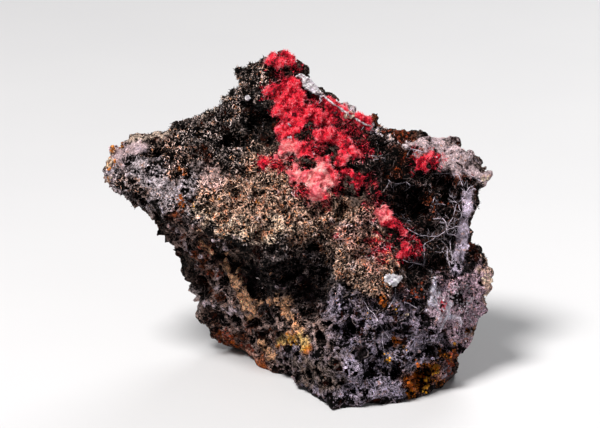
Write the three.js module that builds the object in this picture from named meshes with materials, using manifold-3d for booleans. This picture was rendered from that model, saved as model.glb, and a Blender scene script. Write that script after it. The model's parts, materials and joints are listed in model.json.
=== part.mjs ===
// Chalcotrichite specimen: a palm-sized piece of dark oxidised rock with mats of hair-like red copper oxide
// crystals on its display face, a sliver of white calcite by the summit and a few pale flakes.
//
// Everything is laid out on the display face, in millimetres: u runs right, v up the face and w stands out
// of it. The face leans back, so the finished rock is turned about X to stand on its foot, with +Z up.
import * as THREE from 'three';
import { ConvexHull } from 'three/addons/math/ConvexHull.js';
import { ImprovedNoise } from 'three/addons/math/ImprovedNoise.js';
import { mergeVertices } from 'three/addons/utils/BufferGeometryUtils.js';
import Module from 'manifold-3d';

// ---------------------------------------------------------------- driving dimensions, in millimetres

const FACE_LEAN = 18;        // degrees that the display face leans back from upright
const FOOT_DROP = 32.1;      // from the layout's own origin down to the surface that the rock stands on
const HEART = [4, -1, -13];  // a point well inside the rock, which all of its surface faces away from
const FACE_SPLIT = 4;        // each face between corners is split into this many strips a side
const ROUNDING = 0.35;       // how far each pass of smoothing pulls a point to its neighbours' middle
const SEAT_GAP = 0.3;        // clear gap between the rock and each crystal that sits on it

// ---------------------------------------------------------------- corners of the rock, as [u, v, w]

// The skyline, from the tip of the left arm over the summit to the right tip.
const CREST = [
  [-40, 9, -2], [-39.7, 13, -3], [-39, 16.8, -4], [-35.2, 19, -7], [-29, 19, -9], [-24.5, 20.5, -8],
  [-20.5, 23.5, -7], [-15.5, 25.5, -6], [-11.5, 28.5, -4], [-10.5, 31, -3], [-11.5, 33.5, -3],
  [-9, 34.5, -4], [-6.5, 35, -4],
  [-1.5, 36, -5], [1.5, 34.5, -6], [4, 31, -7], [8.5, 27, -8], [13, 23.5, -9], [16.5, 25, -10],
  [18, 21, -9], [20.5, 20.5, -9], [24, 19.5, -9], [27, 20.5, -10], [33, 20.5, -12], [37, 18, -10],
  [38.5, 15, -8], [39.6, 11, -5],
];
// Down the right side: the neck under the tip, then the corner of the granular block, to the ground.
const RIGHT_EDGE = [
  [38, 7.5, -3], [36, 3, -3], [35, -0.5, -3], [37.5, -3.5, -2], [40, -6, -2], [39.5, -11.5, -3],
  [39, -17.5, -4], [35, -22, -4], [32.5, -25.5, -4], [32, -30, -3],
];
// Down the left side, which runs back and under from the arm to a low corner just clear of the ground.
const LEFT_EDGE = [
  [-38, 7, -4], [-32, 3, -8], [-27.5, -3, -12], [-24, -10, -16], [-21, -17.5, -20], [-19.5, -23.5, -22],
];
// The foot: its front edge, and the corners behind. Some lie below the ground, where the foot is cut flat.
const FOOT_FRONT = [
  [-14.5, -24.5, -20], [-10.5, -27, -17], [-6, -31, -13], [1, -33, 0], [7, -37.5, 9], [14.5, -35, 7],
  [22, -36.5, 5], [28.5, -34, -3],
];
const FOOT_BACK = [[-10.5, -28, -27], [7, -28, -29], [22, -29.5, -22], [30.5, -31.5, -15]];
// The long ridge between the lit upper face and the undercut lower face.
const BROW = [
  [-35, 8.5, 2], [-30.5, 6, 4], [-24, 3, 7], [-16.5, -1, 11], [-9.5, -3, 13], [-4.5, -3, 13], [0.5, 0, 12],
];
const ARM_FACE = [[-35.5, 13.5, 2], [-30, 14.5, 3], [-23, 12, 3], [-16, 7, 8], [-10.5, 3, 11]];
const BLACK_HOLLOW = [[-20, 18.5, -2], [-14, 21, -4], [-6, 24.5, -5], [-8, 31, 0], [-4.5, 17.5, 1]];
// The rib under the red mats, from the summit down to the middle of the face.
const RED_RIB = [
  [-1.5, 29, 0], [1, 20.5, 5], [4.5, 14, 8], [4, 8, 11], [-5.5, 7, 10], [9.5, 3, 10], [10, 21.5, 0],
  [14.5, 13, 1],
];
// The deep black hollow at the right, and the ledge that closes it below.
const RIGHT_HOLLOW = [
  [22.5, 15, -4], [30, 13, -5], [27, 6, -5], [33, 3, -3], [25.5, -1.5, -1], [19.5, 6, -1],
  [14.5, 5, 5], [19, -2, 5],
];
const LEDGE = [[12.5, -4.5, 10], [17.5, -7.5, 11], [27, -6.5, 6], [35, -5.5, 1]];
const BLOCK_FACE = [[31, -12.5, 5], [36, -15.5, 1], [27, -18, 8], [31, -25, 2]];
const LOWER_FACE = [[20.5, -18, 12], [13.5, -23.5, 13], [7.5, -28.5, 12], [21, -27.5, 9], [27, -29.5, 4]];
const MIDDLE_HOLLOW = [
  [3, -5, 8], [4, -12, 5], [4, -18.5, 6], [10.5, -8.5, 11], [11, -16, 12], [7.5, -22, 11],
];
const UNDERCUT_FACE = [
  [-20, -3.5, -1], [-12, -9, 2], [-4.5, -11.5, 4], [-15, -16, -9], [-7.5, -20, -5], [0, -23, 4],
  [-2.5, -28.5, -3],
];
// The broken back, from the top down.
const BACK = [
  [0.5, 29.5, -18], [-10, 25, -19], [11.5, 19, -22], [-21, 17, -21], [-31.5, 13, -19], [26.5, 13, -22],
  [36, 6, -18], [-23, 3, -23], [-12.5, 1, -27], [0.5, -3.5, -29], [37, -9, -17], [19, -12, -26],
  [-13.5, -13.5, -29], [2.5, -18, -32], [33.5, -21.5, -16], [22.5, -25, -26],
];
const CORNERS = [
  CREST, RIGHT_EDGE, LEFT_EDGE, FOOT_FRONT, FOOT_BACK, BROW, ARM_FACE, BLACK_HOLLOW, RED_RIB, RIGHT_HOLLOW,
  LEDGE, BLOCK_FACE, LOWER_FACE, MIDDLE_HOLLOW, UNDERCUT_FACE, BACK,
].flat();

// Hollows and slots eaten into the faces: [u, v, half width, half height, depth].
const HOLLOWS = [
  // the recess under the brow
  [-2.5, -8.5, 6, 5, 6], [4, -9.5, 4.5, 8, 6], [2, -15.5, 4.5, 5, 5],
  // the undercut lower face
  [-8, -12, 2.4, 5.5, 5], [-15, -6.5, 3.6, 3, 4.5],
  // the black hollow at the right, and beside and below the block
  [24.5, 6.5, 6.5, 6.5, 5], [31, 7, 3.6, 5.5, 4.5], [27.5, -7.5, 4.8, 2.6, 6], [34.8, -5, 1.8, 3, 4],
  [26, -29.5, 4.2, 2.8, 4.5],
  // the black hollows at the left
  [-8.8, 22.5, 3.2, 4.8, 5], [-13.5, 17.5, 3.8, 3, 4], [-29.5, 15.5, 3.4, 1.6, 4],
];

// ---------------------------------------------------------------- crystals on the rock

// Each red mat is a cluster of cushions of matted hairs: [u, v, radius across, height].
const RED_MATS = {
  chalcotrichite_crest: [[-5.1, 34.5, 2, 1.4], [-2.3, 34.8, 2, 1.5]],
  chalcotrichite_main: [
    [-1.5, 29.2, 2.6, 2], [-4.8, 28, 2.5, 1.6], [-0.6, 26.2, 3.8, 2.6], [-3.2, 24.4, 3.2, 2],
    [1.8, 23, 3.5, 3.2], [-1.2, 20.4, 3.6, 2.4], [-1.6, 16.6, 3.3, 2], [1.4, 15.8, 2.4, 1.9],
  ],
  chalcotrichite_right: [[6.4, 25.2, 2.5, 2.2], [9, 23.4, 2.6, 2.4], [5.6, 22, 2.2, 2]],
  chalcotrichite_rim: [[13, 21.8, 2.5, 2.6], [13, 18.9, 2, 1.7]],
  chalcotrichite_middle: [[4.4, 18.5, 2.3, 2.1], [6.2, 18.9, 2.2, 2]],
  chalcotrichite_centre: [[9, 17.7, 2.4, 2], [10.8, 15.2, 2.8, 2.1], [8.4, 14.4, 2.1, 1.6]],
  chalcotrichite_lower: [[5, 13, 2.4, 1.8], [5, 10.2, 3.4, 2.1], [0.8, 10.6, 2.8, 1.3], [3.8, 7.2, 2.5, 1.4]],
  chalcotrichite_low_right: [[9.8, 11.4, 2.2, 1.5], [11.9, 9.8, 2.3, 1.8]],
  chalcotrichite_left_spot: [[-6.9, 13.6, 1.9, 1.2]],
  chalcotrichite_hollow_spot: [[25.8, 13.4, 2.2, 1.8], [28.4, 14.4, 1.8, 1.6]],
  chalcotrichite_streak: [[17.2, 2.9, 2, 1.5], [19, 0.9, 2.3, 1.8], [20.9, -0.7, 1.9, 1.6]],
  chalcotrichite_ring: [[23.9, -3.1, 2.1, 1.8], [21.4, -4.4, 2, 1.6]],
};
// Pale plates and cleavage pieces lying on the rock: outline on the display face as [u, v], and thickness.
const PLATES = {
  calcite_sliver: {
    outline: [[-0.6, 31.7], [0.8, 32.3], [3, 30.9], [5, 28.3], [3.6, 27.8], [1.3, 29.3]],
    thickness: 1.4,
    colour: 0xe6e8ee,
  },
  pale_flake: {
    outline: [[17.6, -9.6], [18.2, -9], [19.8, -9], [21.2, -9.7], [20.3, -10.9], [19.2, -11.4], [17.5, -10.7]],
    thickness: 0.9,
    colour: 0xcfc9cc,
  },
  calcite_grain: {
    outline: [[-10.9, 27.6], [-10, 27.9], [-9.5, 27.1], [-10.1, 26.5], [-10.8, 26.8]],
    thickness: 0.9,
    colour: 0xd4d6de,
  },
};

// ---------------------------------------------------------------- surface relief

const perlin = new ImprovedNoise();

// Smooth noise of about -1 to 1 with lumps of the given size.
function lumps(p, size, shift = 0) {
  return perlin.noise(p.x / size + shift, p.y / size - shift, p.z / size + 2 * shift);
}

// A steady random number from 0 to 1 for a cell of the grid.
function scatter(i, j, k, salt) {
  const wave = Math.sin(i * 127.1 + j * 311.7 + k * 74.7 + salt * 53.3) * 43758.5453;
  return wave - Math.floor(wave);
}

// Boxwork: 0 in the bottom of each pit, rising to 1 on the thin walls between the pits.
function boxwork(p, size) {
  const cell = [Math.floor(p.x / size), Math.floor(p.y / size), Math.floor(p.z / size)];
  const seed = new THREE.Vector3();
  const near = [Infinity, Infinity];
  for (let i = -1; i <= 1; i++) for (let j = -1; j <= 1; j++) for (let k = -1; k <= 1; k++) {
    const at = [cell[0] + i, cell[1] + j, cell[2] + k];
    seed.set(...at.map((c, axis) => (c + scatter(...at, axis)) * size));
    const gap = seed.distanceTo(p) / size;
    if (gap < near[0]) [near[0], near[1]] = [gap, near[0]];
    else if (gap < near[1]) near[1] = gap;
  }
  return 1 - Math.min(1, 2.2 * (near[1] - near[0]));
}

// How far the broken surface stands out of the plain faces, in millimetres.
function relief(p) {
  const swell = 1.6 * lumps(p, 11) + 1.8 * lumps(p, 5, 7);
  const pits = 2.5 * (boxwork(p, 7) - 0.5);
  return swell + pits;
}

// ---------------------------------------------------------------- the rock

// Joins the corners as neighbours see each other from the heart of the rock, which closes it all round.
function facesBetween(corners, heart) {
  const rays = corners.map((corner) => corner.clone().sub(heart).normalize());
  const index = new Map(rays.map((ray, i) => [ray, i]));
  const hull = new ConvexHull().setFromPoints(rays);
  const faces = [];
  for (const face of hull.faces) {
    const ring = [];
    let edge = face.edge;
    do {
      ring.push(index.get(edge.head().point));
      edge = edge.next;
    } while (edge !== face.edge);
    for (let i = 2; i < ring.length; i++) faces.push([ring[0], ring[i - 1], ring[i]]);
  }
  return faces;
}

// Splits each face into a grid of small triangles, as one indexed mesh.
function splitFaces(corners, faces, strips) {
  const positions = [];
  const at = (face, i, j) => new THREE.Vector3()
    .addScaledVector(corners[face[0]], (strips - i - j) / strips)
    .addScaledVector(corners[face[1]], i / strips)
    .addScaledVector(corners[face[2]], j / strips);
  for (const face of faces) {
    for (let i = 0; i < strips; i++) for (let j = 0; i + j < strips; j++) {
      positions.push(at(face, i, j), at(face, i + 1, j), at(face, i, j + 1));
      if (i + j + 1 < strips) positions.push(at(face, i + 1, j), at(face, i + 1, j + 1), at(face, i, j + 1));
    }
  }
  return mergeVertices(new THREE.BufferGeometry().setFromPoints(positions), 1e-3);
}

// Calls act(point, index) on each vertex and stores the point that it leaves.
function reshape(geometry, act) {
  const positions = geometry.attributes.position;
  const point = new THREE.Vector3();
  for (let i = 0; i < positions.count; i++) {
    act(point.fromBufferAttribute(positions, i), i);
    positions.setXYZ(i, point.x, point.y, point.z);
  }
}

// Pulls each vertex towards the middle of its neighbours, which rounds the edges between faces.
function soften(geometry, share) {
  const positions = geometry.attributes.position;
  const middle = Array.from({ length: positions.count }, () => new THREE.Vector3());
  const met = new Array(positions.count).fill(0);
  const index = geometry.index.array;
  for (let i = 0; i < index.length; i += 3) {
    for (let side = 0; side < 3; side++) {
      const [from, to] = [index[i + side], index[i + ((side + 1) % 3)]];
      middle[from].add(new THREE.Vector3().fromBufferAttribute(positions, to));
      met[from]++;
    }
  }
  reshape(geometry, (point, i) => point.lerp(middle[i].divideScalar(met[i]), share));
}

// The relief stands up half way between each point's own normal and its ray from the heart, and never folds.
function makeRock() {
  const heart = new THREE.Vector3(...HEART);
  const corners = CORNERS.map((corner) => new THREE.Vector3(...corner));
  const rock = splitFaces(corners, facesBetween(corners, heart), FACE_SPLIT);
  soften(rock, ROUNDING);
  soften(rock, ROUNDING);
  rock.computeVertexNormals();
  const out = new THREE.Vector3();
  const normal = new THREE.Vector3();
  reshape(rock, (point, i) => {
    normal.fromBufferAttribute(rock.attributes.normal, i);
    out.copy(point).sub(heart).normalize().add(normal).normalize();
    point.addScaledVector(out, relief(point));
  });
  return rock;
}

// ---------------------------------------------------------------- from meshes to solids and back

const wasm = await Module();
wasm.setup();

function solidOf(geometry) {
  const plain = geometry.clone();
  for (const name of Object.keys(plain.attributes)) if (name !== 'position') plain.deleteAttribute(name);
  const merged = mergeVertices(plain, 1e-4);
  return new wasm.Manifold(new wasm.Mesh({
    numProp: 3,
    vertProperties: merged.attributes.position.array,
    triVerts: new Uint32Array(merged.index.array),
  }));
}

function geometryOf(solid) {
  const { vertProperties, triVerts } = solid.getMesh();
  const geometry = new THREE.BufferGeometry();
  geometry.setAttribute('position', new THREE.BufferAttribute(new Float32Array(vertProperties), 3));
  geometry.setIndex(new THREE.BufferAttribute(new Uint32Array(triVerts), 1));
  return geometry;
}

// Stands a piece laid out on the display face up on the ground.
function stand(geometry) {
  return geometry.rotateX(THREE.MathUtils.degToRad(90 - FACE_LEAN)).translate(0, 0, FOOT_DROP);
}

// ---------------------------------------------------------------- seats on the display face

const OUTWARD = new THREE.Vector3(0, 0, 1);

// The point of a rock under (u, v) on the display face, and which way its surface faces there.
function seatOn(face, u, v) {
  const probe = new THREE.Raycaster(new THREE.Vector3(u, v, 100), OUTWARD.clone().negate());
  const hit = probe.intersectObject(face)[0];
  return hit && { point: hit.point, facing: hit.face.normal.clone() };
}

const BALL_LUMPS = 3;

// A lumpy ball about a point, with the given half sizes, the third one along facing. Its lumps have the given
// size across, and stand up by about the given share of the ball's own narrowest half.
function lumpyBall(middle, facing, halves, { detail, size, unevenness, grown = 0 }) {
  const round = new THREE.IcosahedronGeometry(1, detail).deleteAttribute('normal').deleteAttribute('uv');
  const ball = mergeVertices(round);
  const turn = new THREE.Quaternion().setFromUnitVectors(OUTWARD, facing);
  const height = unevenness * Math.min(...halves.slice(0, 2));
  reshape(ball, (point) => {
    point.multiply(new THREE.Vector3(...halves)).applyQuaternion(turn).add(middle);
    const ray = point.clone().sub(middle).normalize();
    point.addScaledVector(ray, height * lumps(point, size, BALL_LUMPS) + grown);
  });
  return solidOf(ball);
}

// The largest body of a cut solid: what a cut leaves beside it are crumbs.
function mainBody(solid) {
  return solid.decompose().sort((a, b) => b.volume() - a.volume())[0];
}

// The rock with its hollows eaten out.
const plainRock = makeRock();
const plainFace = new THREE.Mesh(plainRock);
const eaten = HOLLOWS.map(([u, v, ...halves]) => {
  const detail = Math.max(...halves) > 5.5 ? 2 : 1;
  return lumpyBall(seatOn(plainFace, u, v).point, OUTWARD, halves, { detail, size: 4, unevenness: 0.8 });
});
const rockSolid = mainBody(eaten.reduce((left, hollow) => left.subtract(hollow), solidOf(plainRock)));
const rockGeometry = geometryOf(rockSolid);
rockGeometry.computeVertexNormals();
const rockFace = new THREE.Mesh(rockGeometry);

// The rock grown by the seat gap, which every crystal is cut back to: out along its normals, and where they
// cross in a fold, straight out of the display face.
const grownRock = rockGeometry.clone();
const outOfRock = new THREE.Vector3();
reshape(grownRock, (point, i) => {
  outOfRock.fromBufferAttribute(grownRock.attributes.normal, i);
  point.addScaledVector(outOfRock, SEAT_GAP * 1.5);
});
const seat = solidOf(grownRock).add(solidOf(rockGeometry.clone().translate(0, 0, SEAT_GAP)));

// One cushion of matted hairs, half sunk in its seat.
function cushion([u, v, radius, height], grown = 0) {
  const { point, facing } = seatOn(rockFace, u, v);
  return lumpyBall(point, facing, [radius, radius, height], { detail: 1, size: 1.6, unevenness: 0.5, grown });
}

// What each new crystal is cut back to: the rock's seat, and the mats already there, grown by the gap.
const taken = [seat];

function cutBack(solid) {
  return mainBody(taken.reduce((left, other) => left.subtract(other), solid));
}

function mat(cushions) {
  const body = cutBack(cushions.map((each) => cushion(each)).reduce((joined, next) => joined.add(next)));
  taken.push(...cushions.map((each) => cushion(each, SEAT_GAP)));
  return body;
}

// A pale plate of the given outline, lying on the highest part of the rock under its corners.
function plate({ outline, thickness }) {
  const seats = outline.map(([u, v]) => seatOn(rockFace, u, v)).filter((corner) => corner);
  const seated = Math.max(...seats.map(({ point }) => point.z));
  const flat = new THREE.Shape(outline.map(([u, v]) => new THREE.Vector2(u, v)));
  const slab = new THREE.ExtrudeGeometry(flat, { depth: thickness * 2, bevelEnabled: false });
  slab.translate(0, 0, seated - thickness);
  return cutBack(solidOf(slab));
}

// ---------------------------------------------------------------- the specimen

const specimen = new THREE.Group();
specimen.name = 'chalcotrichite_specimen';

function addPiece(name, geometry, colour, roughness) {
  const material = new THREE.MeshStandardMaterial({ color: colour, roughness, metalness: 0, flatShading: true });
  const mesh = new THREE.Mesh(geometry, material);
  mesh.name = name;
  specimen.add(mesh);
}

// The rock, cut flat where it stands.
const GROUND = 200;
const belowGround = new THREE.BoxGeometry(GROUND, GROUND, GROUND).translate(0, 0, -GROUND / 2);
const rock = solidOf(stand(rockGeometry.clone())).subtract(solidOf(belowGround));
addPiece('matrix', geometryOf(rock), 0x3a302c, 0.85);

for (const [name, cushions] of Object.entries(RED_MATS)) {
  addPiece(name, stand(geometryOf(mat(cushions))), 0xd0203c, 0.7);
}
for (const [name, form] of Object.entries(PLATES)) {
  addPiece(name, stand(geometryOf(plate(form))), form.colour, 0.45);
}

// The origin is on the ground under the middle of the whole specimen.
const box = new THREE.Box3().setFromObject(specimen);
const centre = box.getCenter(new THREE.Vector3());
specimen.position.set(-centre.x, -centre.y, 0);

export default specimen;
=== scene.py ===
import json
import math
from typing import NamedTuple

import bmesh
import bpy
import numpy as np
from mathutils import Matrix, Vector
from mathutils.bvhtree import BVHTree

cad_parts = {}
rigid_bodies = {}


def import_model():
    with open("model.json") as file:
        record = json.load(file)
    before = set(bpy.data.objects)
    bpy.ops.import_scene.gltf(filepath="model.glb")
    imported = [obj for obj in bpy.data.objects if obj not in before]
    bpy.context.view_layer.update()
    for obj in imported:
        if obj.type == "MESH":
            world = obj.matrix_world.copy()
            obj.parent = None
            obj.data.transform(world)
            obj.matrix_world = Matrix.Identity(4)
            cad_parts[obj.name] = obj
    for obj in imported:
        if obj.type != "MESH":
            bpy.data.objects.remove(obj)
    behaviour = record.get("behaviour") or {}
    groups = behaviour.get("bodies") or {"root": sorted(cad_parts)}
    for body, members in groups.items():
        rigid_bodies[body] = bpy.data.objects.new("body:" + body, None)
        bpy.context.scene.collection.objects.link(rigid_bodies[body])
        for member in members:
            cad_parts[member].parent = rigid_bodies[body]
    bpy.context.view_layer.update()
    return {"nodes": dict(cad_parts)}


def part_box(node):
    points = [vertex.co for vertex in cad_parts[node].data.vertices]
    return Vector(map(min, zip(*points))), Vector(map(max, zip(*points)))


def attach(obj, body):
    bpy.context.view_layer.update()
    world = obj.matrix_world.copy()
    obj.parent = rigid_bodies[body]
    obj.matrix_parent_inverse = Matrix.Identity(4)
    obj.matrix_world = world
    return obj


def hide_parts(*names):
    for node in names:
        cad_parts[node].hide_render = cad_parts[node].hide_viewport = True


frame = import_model()

# --- Standpoint -------------------------------------------------------------------------------
# The specimen is looked at square to its display face, which leans back on the foot.
# Places on the face are given in millimetres: across, up the face, and out of it.
MM = 0.001
FACE_LEAN = math.radians(18)
GRAIN_LEFT = -10.9  # where the calcite grain's left end lies on the face
MIDDLE_DEPTH = -3.4955
MIDDLE_HEIGHT = 32.1
MIDDLE_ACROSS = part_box("calcite_grain")[0].x / MM - GRAIN_LEFT
FACE_MIDDLE = np.array([MIDDLE_ACROSS, MIDDLE_DEPTH, MIDDLE_HEIGHT])
ACROSS = np.array([1.0, 0.0, 0.0])
UP = np.array([0.0, math.sin(FACE_LEAN), math.cos(FACE_LEAN)])
OUT = np.array([0.0, -math.cos(FACE_LEAN), math.sin(FACE_LEAN)])
AIM = (0.5, 3.1)  # the place on the face, across and up, that the camera looks at
STAND_OFF = 517  # millimetres from there to the camera


def on_face(across, up, out=0.0):
    """A place on the display face as millimetres in the specimen's own frame."""
    return FACE_MIDDLE + across * ACROSS + up * UP + out * OUT


eye = bpy.data.cameras.new("eye")
eye.lens = 150
eye.sensor_width = 36
eye.clip_start = 0.01
eye.clip_end = 20
camera = bpy.data.objects.new("camera", eye)
bpy.context.scene.collection.objects.link(camera)
camera.location = Vector(on_face(*AIM, STAND_OFF) * MM)
camera.rotation_euler = (math.radians(90) - FACE_LEAN, 0, 0)
bpy.context.scene.camera = camera

# --- Rock -------------------------------------------------------------------------------------
# The matrix: a broken piece of dark, rusty, cavernous rock, etched to a honeycomb of thin walls
# and coated with thin crusts. The crusts change colour from place to place over the face.


class Wiring:
    """Writes a node tree, and is w for short below.

    In node(), a capitalised name is one of the node's inputs, and a small one is a setting.
    """

    def __init__(self, tree):
        self.tree = tree

    def feed(self, socket, value):
        """Links or sets an input. A tone is set as an opaque colour."""
        if isinstance(value, bpy.types.NodeSocket):
            self.tree.links.new(value, socket)
        elif isinstance(value, np.ndarray):
            socket.default_value = (*value, 1)
        elif value is not None:
            socket.default_value = value

    def node(self, kind, *values, **named):
        made = self.tree.nodes.new(kind)
        for name, value in named.items():
            if name[0].islower():
                setattr(made, name, value)
        for socket, value in zip(made.inputs, values):
            self.feed(socket, value)
        for name, value in named.items():
            if name[0].isupper():
                self.feed(made.inputs[name.replace("_", " ")], value)
        return made

    def math(self, operation, *values):
        return self.node("ShaderNodeMath", *values, operation=operation).outputs[0]

    def plus(self, one, other):
        return self.math("ADD", one, other)

    def minus(self, one, other):
        return self.math("SUBTRACT", one, other)

    def times(self, one, other):
        return self.math("MULTIPLY", one, other)

    def vector(self, operation, *values):
        made = self.node("ShaderNodeVectorMath", *values, operation=operation)
        return made.outputs["Value" if operation == "DOT_PRODUCT" else "Vector"]

    def scaled(self, vector, by):
        return self.node("ShaderNodeVectorMath", vector, operation="SCALE", Scale=by).outputs[0]

    def ramp(self, value, low, high, bottom=0.0, top=1.0):
        kind, bend = "ShaderNodeMapRange", "SMOOTHSTEP"
        made = self.node(kind, value, low, high, bottom, top, interpolation_type=bend)
        return made.outputs[0]

    def noise(self, place, size, detail=2.0, rough=0.5, colour=False, shift=None):
        """Cloudy noise with swells of that size, from a place of its own where a shift is given."""
        if shift:
            place = self.vector("ADD", place, shift)
        made = self.node(
            "ShaderNodeTexNoise", Vector=place, Scale=1 / size, Detail=detail, Roughness=rough
        )
        return made.outputs["Color" if colour else 0]

    def warp(self, place, size, amount, detail=2.0):
        swirl = self.vector("SUBTRACT", self.noise(place, size, detail, colour=True), (0.5,) * 3)
        return self.vector("ADD", place, self.scaled(swirl, amount))

    def walls(self, place, size):
        """Distance in millimetres to the nearest wall of a honeycomb with cells of that size."""
        kind = "DISTANCE_TO_EDGE"
        cells = self.node("ShaderNodeTexVoronoi", feature=kind, Vector=place, Scale=1 / size)
        return self.times(cells.outputs["Distance"], size)

    def cell(self, place, size):
        """A random share from 0 to 1 for each grain of that size, and another one."""
        cells = self.node("ShaderNodeTexVoronoi", Vector=place, Scale=1 / size).outputs["Color"]
        split = self.node("ShaderNodeSeparateXYZ", cells).outputs
        return split[0], split[1]

    def ragged(self, place, cover):
        """Above 0.5 where a crust full of ragged holes is whole, for that share of the skin."""
        hole_size, hole_roughness, reach = 3.2, 0.72, 0.34
        fractal = self.noise(self.warp(place, 0.9, 0.4), hole_size, 6.0, hole_roughness)
        shift = self.times(self.minus(cover, 0.5), reach)
        return self.plus(fractal, shift)

    def mix(self, share, one, other, blend="MIX"):
        made = self.node("ShaderNodeMix", data_type="RGBA", blend_type=blend)
        self.feed(made.inputs[0], share)
        self.feed(made.inputs[6], one)
        self.feed(made.inputs[7], other)
        return made.outputs[2]

    def attribute(self, name, colour=False):
        made = self.node("ShaderNodeAttribute", attribute_name=name)
        return made.outputs["Color" if colour else "Fac"]

    def millimetres(self):
        """In a material: the place on the piece, in millimetres."""
        place = self.node("ShaderNodeTexCoord").outputs["Object"]
        return self.scaled(place, 1 / MM)

    def skin_place(self):
        """In a geometry tree: the place of each corner, in millimetres."""
        place = self.node("GeometryNodeInputPosition").outputs[0]
        return self.scaled(place, 1 / MM)


def tone(red, green, blue):
    """A colour given as it looks on a screen, 0 to 255, as the linear values that paint needs."""
    shares = np.array([red, green, blue]) / 255
    return np.where(shares < 0.04045, shares / 12.92, ((shares + 0.055) / 1.055) ** 2.4)


def waves(points, size, seed):
    """Smooth, even noise from about -1 to 1 whose swells are about that many millimetres apart."""
    draw = np.random.default_rng(seed)
    total = np.zeros(len(points))
    trains = 9
    for _ in range(trains):
        heading = draw.normal(size=3)
        heading *= 2 * math.pi / (size * draw.uniform(0.6, 1.7) * np.linalg.norm(heading))
        total += np.sin(points @ heading + draw.uniform(0, 2 * math.pi))
    return total / math.sqrt(trains)


def face_places(points):
    """Across, up and out, in millimetres, of points in the specimen's frame."""
    from_middle = points - FACE_MIDDLE
    return from_middle @ ACROSS, from_middle @ UP, from_middle @ OUT


def patch(points, spots, loose=1.0, soft=0.5):
    """How far each point is inside a patch of round spots, 0 to 1, with a ragged edge."""
    across, up, _ = face_places(points)
    broad, narrow = 3.4, 1.3  # the lengths over which an edge wanders
    across = across + loose * (0.9 * waves(points, broad, 1) + 0.45 * waves(points, narrow, 2))
    up = up + loose * (0.9 * waves(points, broad, 3) + 0.45 * waves(points, narrow, 4))
    soft = min(soft, 0.25 + 0.25 * loose)
    inside = np.zeros(len(points))
    for spot_across, spot_up, radius in spots:
        away = np.hypot(across - spot_across, up - spot_up) / radius
        inside = np.maximum(inside, np.clip((1 + soft - away) / (2 * soft), 0, 1))
    return inside * inside * (3 - 2 * inside)


class Coating(NamedTuple):
    """What lies on the dark rock in one part of the face. Shares run from 0 to 1."""

    pit: np.ndarray  # colour of the ground
    crust: np.ndarray  # colour of the crust on it
    cover: float  # share of the ground that is crusted
    cavern: float  # how deeply the rock is eaten out
    sheet: float  # share of a loose sheet over it
    spots: list  # where it lies: across, up, radius
    rise: float = 0.0  # how high its knobs stand, in millimetres
    loose: float = 1.0  # how freely its edge wanders


# what lies where no other coating does, on the front and behind
BARE_ROCK = Coating(tone(14, 9, 7), tone(118, 98, 90), 0.34, 0.6, 0.25, [])
BROKEN_BACK = Coating(tone(30, 20, 16), tone(146, 122, 110), 0.46, 0.2, 0.0, [])
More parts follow.
